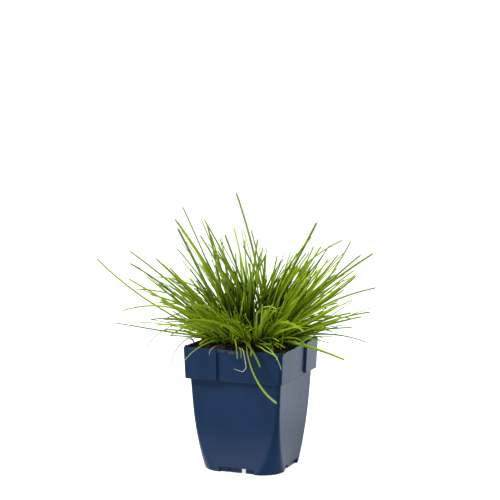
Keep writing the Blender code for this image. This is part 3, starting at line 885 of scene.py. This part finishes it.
# %% [markdown]
# ## The tuft
# Tufted hair grass grows as a dense clump of shoots. A shoot, or tiller, is a few leaves that come
# out of one sheath. Where each shoot stands and where its leaves end is the CAD's table, repeated
# here, because the script reads nothing but the frame. The leaves that show in the picture were
# placed one by one, and the others are grown at random beside them. The random draws come in the
# same order as in the CAD, so both grow the same leaves. Twelve leaves in front, which hang over
# the rim or point at the view, have a smaller width here than in the CAD's table, and the one over
# the rim at the right hangs a little lower on its way.

# %% The table of shoots, in millimetres across the view, away from it and up


def leaf(across, depth, height, bow=2.0, width=2.1, handles=None, **looks):
    """One leaf by its tip. bow is how far its middle stands out above the straight line."""
    tip = (across, depth, height)
    return {"tip": tip, "bow": bow, "width": width, "handles": handles, "looks": looks}


def shoot(root, *leaves, fill=12):
    """A shoot by its root. fill is how many finer leaves grow beside the ones in the table."""
    return {"root": root, "leaves": leaves, "fill": fill}


TILLERS = (
    shoot((17, 0), leaf(-17, 8, 289, 5, 2.3), fill=9),
    shoot((11, -2), leaf(15, -16, 234, 1, 1.8), fill=9),
    shoot((2, -6), leaf(67, -15, 259, 0, 2.8)),
    shoot((-16, 8), leaf(-74, 30, 272, 1, 1.4)),
    shoot((-9, 2), leaf(-81, 2, 261, 4, 2.1)),
    shoot((-4, 9), leaf(6, 20, 238, 2, 2.2), fill=9),
    shoot((-21, -12), leaf(-76, -35, 255, 1, 2.8)),
    shoot((-13, -19), leaf(-17, -48, 231, 1, 1.8)),
    shoot((8, -8), leaf(-49, -20, 264, 4, 2.3)),
    shoot((-25, 7), leaf(-48, 20, 254, 2, 2.0)),
    shoot((1, -19), leaf(-45, -52, 241, 11, 2.0)),
    shoot((9, -21), leaf(32, -42, 224, 11, 1.8)),
    shoot((-35, 2), leaf(-162, -10, 221, -8, 1.9), leaf(-112, 12, 200, 0, 2.8)),
    shoot((-23, -5), leaf(-128, -10, 229, 3, 2.1), leaf(-85, -30, 214, 1, 2.1), fill=22),
    shoot((-12, 13), leaf(-103, 34, 196, 18, 1.9), leaf(-76, 40, 214, 1, 1.7), fill=18),
    shoot((-22, 21), leaf(-55, 55, 207, 4, 1.9), fill=22),
    shoot((-29, 13), leaf(-108, 22, 169, 12, 1.7), fill=8),
    shoot((-26, -17), leaf(-118, -42, 193, 15, 1.6), fill=8),
    shoot((-34, -20), leaf(-103, -62, 165, 9, 1.7), fill=8),
    shoot((-38, 8), leaf(-139, 22, 161, 17, 1.9), fill=8),
    shoot((-40, -5), leaf(-146, -5, 152, 1, 2.3), fill=8),
    shoot((-38, -13), leaf(-113, -27, 126, 22, 1.4)),
    shoot((-36, -26), leaf(-85, -38, 111, 18, 1.5)),
    shoot((12, 18), leaf(56, 60, 227, 3, 1.9), leaf(27, 30, 220, 1, 1.9), fill=26),
    shoot((20, 8), leaf(83, 26, 231, 0, 2.2), leaf(66, 35, 229, 0, 1.9),
          leaf(73, 14, 231, 3, 2.2), fill=32),
    shoot((10, -13), leaf(93, -30, 242, 16, 2.1), fill=20),
    shoot((30, 0), leaf(104, 5, 238, -3, 2.2), fill=22),
    shoot((20, -7), leaf(125, -25, 228, 5, 2.4)),
    shoot((19, -25), leaf(75, -78, 226, 2, 2.4), fill=26),
    shoot((20, 18), leaf(112, 40, 196, -3, 2.4)),
    shoot((24, 27), leaf(93, 84, 192, 5, 2.1)),
    shoot((26, -18), leaf(126, -52, 196, 9, 2.1), leaf(128, -80, 183, 0, 2.1)),
    shoot((37, 11), leaf(107, 18, 172, -3, 2.3), leaf(107, 20, 143, 2, 1.9), fill=18),
    shoot((37, -6), leaf(114, -20, 161, 1, 2.9), leaf(120, -32, 135, 7, 1.7), fill=18),
    shoot((4, 27), leaf(-11, 62, 245, 0, 1.5), fill=8),
    shoot((30, -25), leaf(93, -70, 125, 0, 2.9, ((40, -40, 139), (66, -58, 136)), tint=0.95)),
    # Leaves over the front rim, paler from the middle: partly bleached, partly painted highlight.
    shoot((-5, -36), leaf(25, -79, 82, 0, 2.2, ((-7, -62, 147), (-6, -80, 103)), broad_end=True,
                          pale=0.4)),
    shoot((-13, -35), leaf(8, -68, 117, 0, 2.0, ((-12, -47, 148), (0, -62, 137)), pale=0.3)),
    shoot((-20, -33), leaf(-15, -61, 124, 0, 1.7, ((-19, -45, 147), (-16, -58, 141)), pale=0.3)),
    shoot((4, -37), leaf(29, -77, 116, 0, 1.3, ((8, -53, 141), (25, -77, 136)), pale=1.0)),
    shoot((-28, -30), leaf(-69, -42, 119, 0, 1.0, ((-36, -38, 144), (-57, -49, 136)), pale=0.7)),
    shoot((-29, -22), leaf(-54, -31, 134.5, 5, 2.5)),
    shoot((21, -33), leaf(28, -66, 134, 0, 0.9, ((28, -42, 176), (36, -60, 166)))),
    shoot((-13, -25), leaf(-60, -110, 186, 7, 1.6), fill=14),
    shoot((-5, -28), leaf(-26, -136, 176, 9, 1.7), fill=14),
    shoot((7, -28), leaf(20, -130, 190, 7, 1.6), fill=14),
    shoot((14, -32), leaf(58, -116, 168, 9, 1.6), fill=14),
    shoot((-21, -25), leaf(-84, -98, 168, 7, 1.6), fill=14),
    shoot((-4, -12), leaf(-2, -94, 214, 4, 2.2), fill=8),
    shoot((-31, 22), leaf(-112, 66, 172, 8, 2.0)),
    shoot((-12, 30), leaf(-42, 126, 188, 8, 2.2)),
    shoot((-4, 35), leaf(2, 138, 198, 8, 2.2)),
    shoot((12, 33), leaf(42, 116, 196, 6, 2.2)),
    shoot((31, 19), leaf(88, 108, 178, 8, 2.2)),
    shoot((-4, 20), leaf(-8, 92, 230, 4, 2.0), fill=7),
    shoot((19, 33), leaf(44, 84, 208, 3, 2.1)),
)
print("shoots:", len(TILLERS))

# %% [markdown]
# ### Where each leaf runs
# A leaf is a Bezier curve from its root to its tip. Its two handles stand out on the upper side,
# so it bends over under its own weight. Crowded roots are pushed apart first, as real shoots
# press against each other in a clump.

# %% Curves and roots
ROOT_SPACING = 6.4
ROOT_RISE = 1.2
SPREAD_ROUNDS = 300
SAMPLES = 48


def curve_points(root, blade, steps):
    """Points along a leaf from its root to its tip, in metres, with a round bend."""
    tip = view_to_pot(*blade["tip"])
    if blade["handles"]:
        first, second = (view_to_pot(*handle) for handle in blade["handles"])
    else:
        chord = (tip - root).normalized()
        upper_side = (Vector((0, 0, 1)) - chord * chord.z).normalized()
        out = upper_side * blade["bow"] * MM * 4 / 3
        first = root.lerp(tip, 0.33) + out
        second = root.lerp(tip, 0.67) + out
    return geometry.interpolate_bezier(root, first, second, tip, steps)


def spread_roots(places):
    """Push crowded roots apart, so that each tiller has its own place on the crown."""
    apart = ROOT_SPACING * MM
    for _ in range(SPREAD_ROUNDS):
        moves = [Vector() for _ in places]
        for i, first in enumerate(places):
            for j in range(i + 1, len(places)):
                gap = first - places[j]
                if gap.length < apart:
                    push = gap.normalized() * (apart - gap.length) / 2
                    moves[i] += push
                    moves[j] -= push
        places = [place + move * 0.6 for place, move in zip(places, moves)]
    return places


def starting_roots():
    places = [view_to_pot(*tiller["root"], 0) for tiller in TILLERS]
    stand = Vector((0, 0, (SOIL_CROWN + GAP + ROOT_RISE) * MM))
    return [place + stand for place in spread_roots(places)]


ROOTS = starting_roots()
print("roots placed:", len(ROOTS))

# %% [markdown]
# ### Keeping leaves apart
# The CAD keeps a small space between the leaves of different shoots, because its solids must not
# overlap. A leaf that is not clear is moved a little towards or away from the view, where the
# picture can't tell. The same rules are repeated here, so the fine leaves fall in the same places.

# %% Rules for a leaf's place
LEAF_CLEARANCE = 2.7
FAN_WIDTH = 22.0
TRIES = 200
MOST_NUDGE = 24
LOW_REACH = 1.8
LOW_RISE = 30.0
LEAVES_IN_TILLER = 3
REACH_X = 146.0
REACH_Y = 132.0
LEAF_LIFT = 2.5
SIDE_LENGTH = (0.5, 0.88)
SIDE_LEAST_RISE = 8.0
SIDE_SWAY = 0.1
SIDE_BOW = (0, 7)
SIDE_WIDTH = (1.5, 2.4)
SEED = 11


def is_clear(points, others):
    """Whether a leaf keeps its distance from the leaves of the other tillers placed so far."""
    if not others:
        return True
    gaps = points[:, None, :] - np.concatenate(others)[None, :, :]
    return (gaps**2).sum(axis=2).min() > (LEAF_CLEARANCE * MM) ** 2


def is_near(points, lead):
    """Whether the tip of a side leaf stays close to its tiller's first leaf."""
    return np.linalg.norm(lead - points[-1], axis=1).min() < FAN_WIDTH * MM


def is_in_air(points, lift=LEAF_LIFT):
    """Whether a leaf stays off the compost and the rim, and inside the tuft's outer box."""
    for x, y, z in points[3:] / MM:
        out = max(abs(x), abs(y))
        if out < PATCH_HALF + lift and z < max(POT_HEIGHT, soil_height(x, y)) + lift:
            return False
        if abs(x) > REACH_X or abs(y) > REACH_Y or z < POT_HEIGHT:
            return False
    return True


def tip_beside(lead, rise, length, sway, draws, droop=1.0):
    """A leaf's tip at a share of its lead's length, swayed at random."""
    across, depth, _ = lead["tip"]
    reach = math.sqrt(across**2 + depth**2 + rise**2)
    sways = [draws.gauss(0, sway) * reach for _ in range(3)]
    height = SOIL_CROWN + rise * length * droop + abs(sways[2]) * 0.6
    return across * length + sways[0], depth * length + sways[1], height


def side_leaf(lead, chance):
    """A shorter leaf beside a tiller's lead leaf."""
    rise = max(lead["tip"][2] - SOIL_CROWN, SIDE_LEAST_RISE)
    tip = tip_beside(lead, rise, chance.uniform(*SIDE_LENGTH), SIDE_SWAY, chance)
    return leaf(*tip, bow=chance.uniform(*SIDE_BOW), width=chance.uniform(*SIDE_WIDTH))


def low_lead(tiller):
    """What side leaves grow beside where a shoot's own leaf hangs over the rim."""
    across, depth = tiller["root"]
    return leaf(across * LOW_REACH, depth * LOW_REACH, SOIL_CROWN + LOW_RISE)


print("rules ready")

# %% Grow the same leaves as the CAD


class Tuft:
    """Every tiller's leaves, placed so that no leaf passes through one of another tiller."""

    def __init__(self):
        self.samples = [[] for _ in TILLERS]
        self.blades = [[] for _ in TILLERS]
        self.grow_leads()
        self.grow_sides()

    def try_leaf(self, number, blade, is_side):
        fine = np.array(curve_points(ROOTS[number], blade, SAMPLES))
        if is_side and not (is_in_air(fine) and is_near(fine, self.samples[number][0])):
            return False
        others = [found for i, group in enumerate(self.samples) if i != number for found in group]
        if not is_clear(fine, others):
            return False
        self.samples[number].append(fine)
        self.blades[number].append(blade)
        return True

    def grow_leads(self):
        nudges = sorted(range(-MOST_NUDGE, MOST_NUDGE + 1, 3), key=abs)
        for number, tiller in enumerate(TILLERS):
            for blade in tiller["leaves"]:
                across, depth, height = blade["tip"]
                moved = (dict(blade, tip=(across, depth + nudge, height)) for nudge in nudges)
                any(self.try_leaf(number, trial, False) for trial in moved)

    def grow_sides(self):
        chance = random.Random(SEED)
        for number, tiller in enumerate(TILLERS):
            lead = tiller["leaves"][0]
            if lead["handles"]:
                lead = low_lead(tiller)
            for _ in range(TRIES):
                if len(self.blades[number]) >= LEAVES_IN_TILLER:
                    break
                self.try_leaf(number, side_leaf(lead, chance), True)


tuft = Tuft()
print("leaves as in the CAD:", sum(len(blades) for blades in tuft.blades))

# %% [markdown]
# ### The shape of one leaf
# A blade of this grass is 2 to 3 mm wide, stiff and folded a little along its middle, with a keel
# below. A flat card with a picture of grass would be the quick way, but it shows from the side.
# Each blade here is a closed thin solid: a section of four points, swept along the curve, which
# turns slowly as real leaves do. It is drawn about a quarter broader than its width in the table,
# but most blades are turned and show less. A blade narrows slowly to half its width and then ends
# in a short point. Each point of the mesh also stores how far along and across the leaf it is,
# whether it lies on the keel, and how deep inside the clump, so that the finish can follow the
# leaf and paint shade on its keel and deep in the clump.

# %% One blade and one sheath
LEAF_SECTION = np.array(((-1.0, 0.28), (0.0, -0.26), (1.0, 0.28), (0.0, -0.54)))
LEAF_STEPS = 18
LEAF_VALUES = ("along", "across", "under", "tint", "dry", "inside", "pale")
BROADER = 1.24
LEAST_HALF = 0.12
SHEATH_HEIGHT = 10.0
SHEATH_RADIUS = 1.8
SHEATH_RINGS = 6
SHEATH_CORNERS = 10
# How far the clump's painted shade reaches and where it fades, in millimetres.
CLUMP_FOOT = 27.0
CLUMP_SPREAD = 0.75
DARK_UP_TO = 30.0
LIGHT_FROM = 80.0
SOIL_SHADOW_RISE = 22.0
ALONG_VIEW = view_to_pot(0, 1, 0).normalized()
growth = random.Random(23)


def painted_clump_shade(places):
    """The share of painted shade deep in the clump: 1 near its middle, 0 from its outer leaves on.
    """
    places = np.array(places) / MM
    up = places[:, 2] - SOIL_CROWN
    out = np.hypot(places[:, 0], places[:, 1]) / (CLUMP_FOOT + CLUMP_SPREAD * np.maximum(up, 0))
    low = 1 - np.clip((up - DARK_UP_TO) / (LIGHT_FROM - DARK_UP_TO), 0, 1)
    # Painted shade also falls on the leaves just above the compost.
    near_soil = np.clip(1 - up / SOIL_SHADOW_RISE, 0, 1) * (out < 1.8) * 0.6
    return np.maximum(low * (1 - np.clip((out - 0.6) / 0.5, 0, 1)), near_soil)


def width_share(share, broad_end):
    """A leaf is widest a third of the way up, or near its point if it has a broad end."""
    if broad_end:
        return (0.28 + 0.72 * share**1.6) * min(1.0, (1 - share) / 0.15) ** 0.8
    point = min(1.0, (1 - share) / 0.09) ** 0.7
    return min(0.62 + 1.6 * share, 1.0) * (1 - 0.5 * max(0.0, share - 0.3) / 0.7) * point


def add_blade(heap, route, width, turn, broad_end=False, shade=1.0, **values):
    """Sweeps the folded section along a route, with a slow turn and a slight wander.

    With a turn of 0 the picture shows the blade's full width. shade is how strongly the painted
    shade deep inside the clump darkens the blade.
    """
    side = (route[-1] - route[0]).cross(ALONG_VIEW + Vector((0, 0, 0.35)))
    turning = growth.gauss(0, 0.5)
    wander = growth.gauss(0, 0.5) * MM
    phase = growth.uniform(0, 3)
    rows, alongs = [], []
    for share, place, along, side in frames(route, side):
        place = place + side * math.sin(math.pi * share) * math.sin(phase + 4 * share) * wander
        turned = Matrix.Rotation(turn + turning * share, 3, along) @ side
        above = turned.cross(along)
        half = max(width / 2 * BROADER * width_share(share, broad_end), LEAST_HALF) * MM
        for x, y in LEAF_SECTION:
            rows.append(place + (turned * x + above * y) * half)
            alongs.append(share)
    across = np.tile((-1.0, 0.0, 1.0, 0.0), len(route))
    # under is 1 along the keel, which the finish paints in shade.
    under = np.tile((0.0, 0.0, 0.0, 1.0), len(route))
    # inside is the clump's painted shade, scaled by shade.
    heap.add(np.array(rows), tube_faces(len(route), 4), along=alongs, across=across, under=under,
             inside=painted_clump_shade(rows) * shade, **values)


def add_sheath(heap, root, heading, tint):
    """The short tube that a shoot's leaves come out of."""
    rows, alongs = [], []
    side = heading.orthogonal().normalized()
    above = heading.cross(side)
    foot = root - heading * ROOT_RISE * MM
    lowest = (SOIL_CROWN + GAP) * MM
    for ring in range(SHEATH_RINGS):
        share = ring / (SHEATH_RINGS - 1)
        radius = SHEATH_RADIUS * (1 - 0.5 * share) * MM
        middle = foot + heading * share * SHEATH_HEIGHT * MM
        rows += circle(middle, side, above, radius, SHEATH_CORNERS)
        alongs += [-0.2 + 0.2 * share] * SHEATH_CORNERS
    for place in rows:
        place.z = max(place.z, lowest)
    # The sheath takes the clump's painted shade too.
    heap.add(np.array(rows), tube_faces(SHEATH_RINGS, SHEATH_CORNERS), along=alongs, tint=tint,
             inside=painted_clump_shade(rows))


print("a blade has", LEAF_STEPS * 4, "points")

# %% [markdown]
# ### Filling the clump
# The real clump holds several hundred leaves, most of them shorter and thinner than the ones that
# reach the outline. Each shoot gets more such leaves inside its own fan. They stay shorter than
# the CAD's leaves, so the outline is still the CAD's. Shoots near the clump's edge also get low
# leaves that arch out over the compost, and the ones in front get short young leaves at the foot.

# %% Finer leaves at random
LOW_LIFT = 0.9
FILL_WIDTH = (1.1, 2.1)
FILL_LEAST_RISE = 10.0
STRAY_SHARE = 0.09
# How far a finer leaf sways, how much it droops, and its bow: for most of them, then for strays.
STEADY = (0.075, 1.0, (-1, 6))
STRAY = (0.2, 0.7, (6, 16))


def filler_leaf(parent):
    """A leaf inside the fan of its parent. A few stray from it and bend over more."""
    rise = max(parent["tip"][2] - SOIL_CROWN, FILL_LEAST_RISE)
    length = growth.uniform(0.45, 0.94 - 0.001 * rise)
    sway, droop, bow = STRAY if growth.random() < STRAY_SHARE else STEADY
    tip = tip_beside(parent, rise, length, sway, growth, droop)
    tint = 0.12 + 1.5 * (length - 0.4)
    return leaf(*tip, bow=growth.uniform(*bow), width=growth.uniform(*FILL_WIDTH), tint=tint)


def view_across(place):
    """Where a place lies across the view and away from it, in millimetres."""
    turned = Matrix.Rotation(-math.radians(VIEW_TURN), 3, "Z") @ place / MM
    return np.array((turned.x, turned.y))


def outward(root, spread):
    """A direction across the view and away from it, roughly out of the clump."""
    heading = math.atan2(root.y, root.x) - math.radians(VIEW_TURN) + growth.gauss(0, spread)
    return np.array((math.cos(heading), math.sin(heading)))


def points_from(root, way, *ends):
    """Points in the view by how far they reach from a root along a way, and how they rise."""
    start = view_across(root)
    return [(*(start + way * reach), SOIL_CROWN + rise) for reach, rise in ends]


def low_leaf(root):
    """A leaf that arches outwards just above the compost, or higher where the compost is bare."""
    way = outward(root, 0.6)
    reach = growth.uniform(12, 58)
    arch = growth.uniform(2, 15)
    end_rise = growth.uniform(1, 8)
    if way[0] < 0.1 and way[1] < 0.1:
        reach, arch, end_rise = reach * 0.5, arch + 5, end_rise + 12
    ends = (reach * 0.3, arch * 0.7), (reach * 0.75, arch * 0.9), (reach, end_rise)
    *handles, tip = points_from(root, way, *ends)
    return leaf(*tip, width=growth.uniform(0.8, 1.5), handles=handles, tint=0.45)


def young_leaf(root):
    """A short, nearly straight new leaf that crosses the others at the clump's foot."""
    way = outward(root, 0.9) - (0, 0.35)
    reach = growth.uniform(5, 28)
    rise = growth.uniform(10, 46)
    first = (reach * 0.25, rise * growth.uniform(0.3, 0.5))
    second = (reach * 0.65, rise * growth.uniform(0.65, 0.95))
    *handles, tip = points_from(root, way, first, second, (reach, rise))
    return leaf(*tip, width=growth.uniform(0.7, 1.2), handles=handles)


print("a filler leaf is", FILL_WIDTH, "mm wide")

# %% [markdown]
# Two groups of thin leaves show well in the picture, so they are listed one by one: small bent
# ones over the front rim, and the ones that fill the fan above the right corner.

# %% Leaves listed one by one: a width, then points across, away and above, in millimetres
FRONT_LEAVES = (
    (1.3, (-5, -35, 142.5), (-3.5, -39, 144.3), (-1, -43.5, 141), (-3, -47, 139),
     (-1.6, -53, 135.4), (-1, -59, 131), (-1, -60.5, 127)),
    (1.0, (-14, -46, 134), (-12.8, -54, 134.4), (-11.4, -58.4, 131), (-11.4, -60, 125)),
    (1.4, (4, -48, 135.5), (9, -58, 135), (13.5, -64.5, 132.8), (19, -68.5, 131.2),
     (25.3, -70.5, 128), (24.3, -70.8, 125)),
    (1.2, (13, -38, 139), (16, -50, 138), (19, -60, 136), (20.8, -67.5, 132.8), (23.4, -69.6, 127)),
    (1.2, (5, -31, 148), (6.5, -34, 151.8), (10, -38, 148), (16.8, -47, 141.6), (20, -51, 140.5)),
    (1.1, (-1, -35, 142.5), (4, -40, 142.6), (8.4, -44.5, 141), (14.6, -52, 138)),
    (1.2, (42, -30, 138), (48.7, -42, 137.6), (54.9, -48, 141.9), (65.2, -50, 146.8)),
    (1.0, (2, -36, 150), (4, -50, 167), (9, -55, 172), (16, -58, 173.5), (24, -60, 172.5),
     (31, -62, 171)),
)
SIDE_LEAVES = (
    (1.4, (44, 10, 137), (58, 10, 141), (74, 12, 146), (92, 14, 152)),
    (1.2, (43, 7, 136), (56, 4, 139), (72, 2, 142), (88, 2, 146)),
    (1.3, (44, -8, 136.5), (58, -10, 140), (74, -12, 145), (90, -14, 150)),
    (1.2, (43, -10, 136), (56, -14, 138.5), (70, -18, 140), (84, -21, 140)),
    (1.3, (44, 14, 138), (58, 18, 143), (74, 22, 149), (86, 24, 155)),
    (1.3, (42, -12, 136), (54, -20, 138), (68, -28, 138), (80, -33, 135.5)),
    (1.2, (45, 9, 136), (60, 8, 138.5), (76, 6, 139.5), (90, 3, 138)),
    (1.5, (42, -3, 138), (55, -3, 144), (70, -4, 151), (84, -4, 160)),
    (1.6, (44, 12, 138), (57, 16, 147), (70, 20, 156), (80, 24, 165)),
    (1.9, (49, 11, 171), (79, 20, 213)),
    (1.7, (55, 11, 175), (92, 20, 222)),
    (1.8, (40, 7, 172), (60, 10, 216)),
    (1.6, (45, 4, 168), (71, 5, 206)),
    (1.7, (35, 9, 175), (50, 15, 222)),
    (1.7, (41, 16, 168), (62, 30, 207)),
    (1.6, (52, 7, 166), (86, 10, 201)),
    (1.8, (38, 0, 168), (56, -6, 207)),
    (1.6, (47, 14, 173), (75, 26, 219)),
    (1.5, (53, 0, 169), (89, -4, 210)),
    (1.7, (57, 8, 163), (98, 12, 196)),
    (1.6, (41, -12, 171), (67, -20, 214)),
)
# How pale the front leaves turn, partly bleaching and partly a painted highlight.
FRONT_BLEACH_AND_HIGHLIGHT = 0.5


def nearest_root(place):
    return min(ROOTS, key=lambda root: (root - place).length)


def crowd_to_tip(route):
    """Adds points near the end of a route, where the blade narrows to its point."""
    before, end = route[-2:]
    return route[:-1] + [before.lerp(end, share) for share in (0.35, 0.6, 0.8, 0.93)] + [end]


def smooth_route(points, steps, ease=6.0):
    """A smooth curve through points. A larger ease makes sharper bends."""
    ends = [points[0] * 2 - points[1], *points, points[-1] * 2 - points[-2]]
    route = []
    for before, start, end, after in zip(ends, ends[1:], ends[2:], ends[3:]):
        first = start + (end - before) / ease
        second = end - (after - start) / ease
        route += geometry.interpolate_bezier(start, first, second, end, steps)[:-1]
    return route + [points[-1]]


print("leaves placed by hand:", len(FRONT_LEAVES) + len(SIDE_LEAVES))

# %% [markdown]
# A shoot is put together in one order: its sheath, the CAD's leaves, the finer ones, the young
# ones and those placed by hand. A random leaf that would touch the compost or the rim is left out.
# A leaf's tint runs from 0, an old dark leaf, to 1, the newest and most yellow.

# %% Leaves for every shoot
LOW_LEAVES = 2
YOUNG_LEAVES = 4
YOUNG_DEPTH = 8.0
CLUMP_CORE = 20.0
MOST_TRIES = 120
CHECK_STEPS = 16


def leaf_tint(middle, least=0.0, spread=0.32):
    return min(max(growth.gauss(middle, spread), least), 1)


def leaf_dryness():
    return growth.uniform(0.2, 0.5) if growth.random() < 0.12 else 0.0


def root_reach(root):
    """How far a root stands from the middle of the clump, in millimetres."""
    return math.hypot(root.x, root.y) / MM


def near_root(root, spread):
    return root + Vector((growth.gauss(0, spread), growth.gauss(0, spread), 0)) * MM


def is_free(start, blade, lift):
    return is_in_air(np.array(curve_points(start, blade, CHECK_STEPS)), lift)


def add_leaf(heap, start, blade, turn, **looks):
    route = crowd_to_tip(curve_points(start, blade, LEAF_STEPS))
    add_blade(heap, route, blade["width"], turn, **looks)


def shoot_heading(root, blades):
    heading = Vector()
    for blade in blades:
        route = curve_points(root, blade, 6)
        heading += (route[1] - route[0]).normalized()
    return heading.normalized()


def add_cad_leaves(heap, root, blades):
    for blade in blades:
        turn = growth.gauss(0, 0.35)
        looks = dict(blade["looks"], dry=leaf_dryness())
        tint = leaf_tint(looks.pop("tint", 0.58), 0.3, 0.25)
        add_leaf(heap, root, blade, turn, shade=1.3 - tint, tint=tint, **looks)


def add_fillers(heap, root, parents, wanted):
    made = tries = 0
    while parents and made < wanted and tries < MOST_TRIES:
        tries += 1
        if made < LOW_LEAVES and root_reach(root) > CLUMP_CORE:
            blade, lift = low_leaf(root), LOW_LIFT
        else:
            blade, lift = filler_leaf(growth.choice(parents)), LEAF_LIFT
        start = near_root(root, 1.1)
        if is_free(start, blade, lift):
            tint = leaf_tint(blade["looks"]["tint"], spread=0.45)
            turn = growth.uniform(-1.1, 1.1)
            add_leaf(heap, start, blade, turn, shade=1.5 - tint, tint=tint, dry=leaf_dryness())
            made += 1
    return made


def add_young_leaves(heap, root):
    if view_across(root)[1] >= YOUNG_DEPTH or root_reach(root) <= CLUMP_CORE / 2:
        return 0
    made = 0
    for _ in range(YOUNG_LEAVES):
        blade = young_leaf(root)
        start = near_root(root, 2.0)
        turn = growth.uniform(-0.8, 0.8)
        if is_free(start, blade, LOW_LIFT):
            add_leaf(heap, start, blade, turn, shade=0.3, tint=leaf_tint(0.85, 0.5))
            made += 1
    return made


def add_placed_leaves(heap, root, table, pale):
    """The leaves of a table that start nearest to this root."""
    for width, *places in table:
        places = [view_to_pot(*place) for place in places]
        if nearest_root(places[0]) is root:
            route = crowd_to_tip(smooth_route([root, *places], 4))
            turn = growth.gauss(0, 0.3)
            # Their pale tone is partly bleaching and partly a painted highlight.
            add_blade(heap, route, width, turn, shade=0.6, tint=leaf_tint(0.7, 0.4), pale=pale)


def dress_shoot(name, root, blades, fill):
    """The fine mesh of one shoot, and how many leaves were added to the CAD's."""
    heap = Heap(*LEAF_VALUES)
    add_sheath(heap, root, shoot_heading(root, blades), growth.uniform(0, 1))
    add_cad_leaves(heap, root, blades)
    made = add_fillers(heap, root, [blade for blade in blades if not blade["handles"]], fill)
    made += add_young_leaves(heap, root)
    add_placed_leaves(heap, root, FRONT_LEAVES, FRONT_BLEACH_AND_HIGHLIGHT)
    add_placed_leaves(heap, root, SIDE_LEAVES, 0.0)
    return heap.mesh(name, ROUND_LIMIT), made


print("a shoot can be dressed, with up to", YOUNG_LEAVES, "young leaves")

# %% [markdown]
# ### The finish of a living leaf
# Young tufted hair grass is a strong yellow-green. Old leaves are darker, the newest are more
# yellow, and a few have straw-coloured tips. Painted shade darkens a leaf at its foot, along its
# keel and deep inside the clump, and a leaf turns olive towards its point. Fine ribs run along it.
# All of this follows the values stored on the leaf, so each leaf has its own colour with one
# material for the whole tuft. A few leaves that hang over the front rim are paler from their
# middle on, partly bleached and partly a painted highlight.

# %% Living leaf
living = Finish("living_leaf", 0.14, mirrored=(0.95, 1.0, 0.35))
along, across, under, tint, dry, inside, pale = [living.attribute(name) for name in LEAF_VALUES]
ribs = (across * 20.0).math("SINE") * 0.5 + 0.5
leaf_place = living.node("CombineXYZ", None, {0: along * 9.0, 1: across * 0.7, 2: tint * 91.0})
mottle = living.node("TexNoise", None, {"Vector": leaf_place, "Scale": 1.0, "Detail": 3.0})
dried = along.between(1 - dry * 0.4, 1.02 - dry * 0.15) * dry.between(0.05, 0.1) * 0.85
green = living.coats(
    living.mix(tint.between(0.0, 0.6), (0.030, 0.066, 0.0005), (0.144, 0.232, 0.0008)),
    (tint.between(0.5, 1.0), (0.275, 0.375, 0.0090)),
    (mottle.between(0.35, 0.75) * 0.3, (0.060, 0.105, 0.0006)),
    (ribs * 0.16, (0.220, 0.310, 0.0070)),
    # Painted shade at a leaf's foot.
    ((1 - along.between(0.0, 0.25)) * 0.5, (0.020, 0.036, 0.0008)),
    # Painted shade along the keel.
    (under * 0.55, (0.020, 0.040, 0.0006)),
    # Painted shade deep inside the clump.
    (inside.between(0.0, 1.0) * 0.95, (0.004, 0.012, 0.0002)),
    # Partly bleached, partly a painted highlight, from the middle on.
    (pale * along.between(0.3, 1.0) * 0.8, (0.240, 0.330, 0.150)),
    (along.between(0.86, 1.0) * 0.35, (0.120, 0.145, 0.0200)),
    (dried, (0.290, 0.260, 0.140)),
)
living.surface(green, 0.5 + mottle * 0.14, ribs, 0.00005)
print("a leaf carries the values", LEAF_VALUES)

# %% Grow every shoot
leaf_count = face_count = 0
for number, (tiller, root, blades) in enumerate(zip(TILLERS, ROOTS, tuft.blades), 1):
    name = f"shoot_{number:02d}"
    shoot_mesh, added = dress_shoot(name, root, blades, tiller["fill"])
    leaf_count += len(blades) + added
    face_count += len(shoot_mesh.polygons)
    show(name, shoot_mesh, living.material, f"tiller_{number:02d}")
print("leaves:", leaf_count, "faces:", face_count)

# %% [markdown]
# ## Old leaves over the rim
# Two dead leaves hang over the pot's front: a kinked one and a short one. They are bleached to
# straw, and the short one is still a little green. Each is a thin thread along the CAD's route,
# smoothed between its points.

# %% Dry leaves: a width, how green it is, then points across, away and above, in millimetres
DRY_LEAVES = {
    "dry_leaf_1": (0.78, 0.0, (-11.5, -44.0, 133.6), (-10.4, -53.0, 133.4), (-8.8, -57.8, 131.6),
                   (-7.8, -59.6, 126.5), (-6.0, -60.0, 115.2), (-9.9, -60.0, 110.8),
                   (-18.3, -59.0, 113.8)),
    "dry_leaf_2": (0.65, 0.75, (-35.0, -36.0, 133.0), (-39.0, -43.5, 133.4), (-42.5, -47.5, 131.0),
                   (-44.0, -48.5, 126.0)),
}
straw = Finish("bleached_straw", 0.25)
straw_fibres = straw.noise(0.8, 3.0)
straw_colour = straw.mix(straw_fibres.between(0.3, 0.7), (0.27, 0.28, 0.24), (0.44, 0.46, 0.41))
straw_colour = straw.mix(straw.attribute("greenish"), straw_colour, (0.140, 0.155, 0.100))
straw.surface(straw_colour, 0.6 + straw_fibres * 0.2, straw_fibres, 0.0001)
for node, (width, greenish, *places) in DRY_LEAVES.items():
    heap = Heap("greenish")
    route = smooth_route([view_to_pot(*place) for place in places], 5, ease=15.0)
    add_thread(heap, route, width * MM, corners=7, greenish=greenish)
    name = node + "_fine"
    show(name, heap.mesh(name, THREAD_LIMIT), straw.material, node)
print("dry leaves hung:", len(DRY_LEAVES))
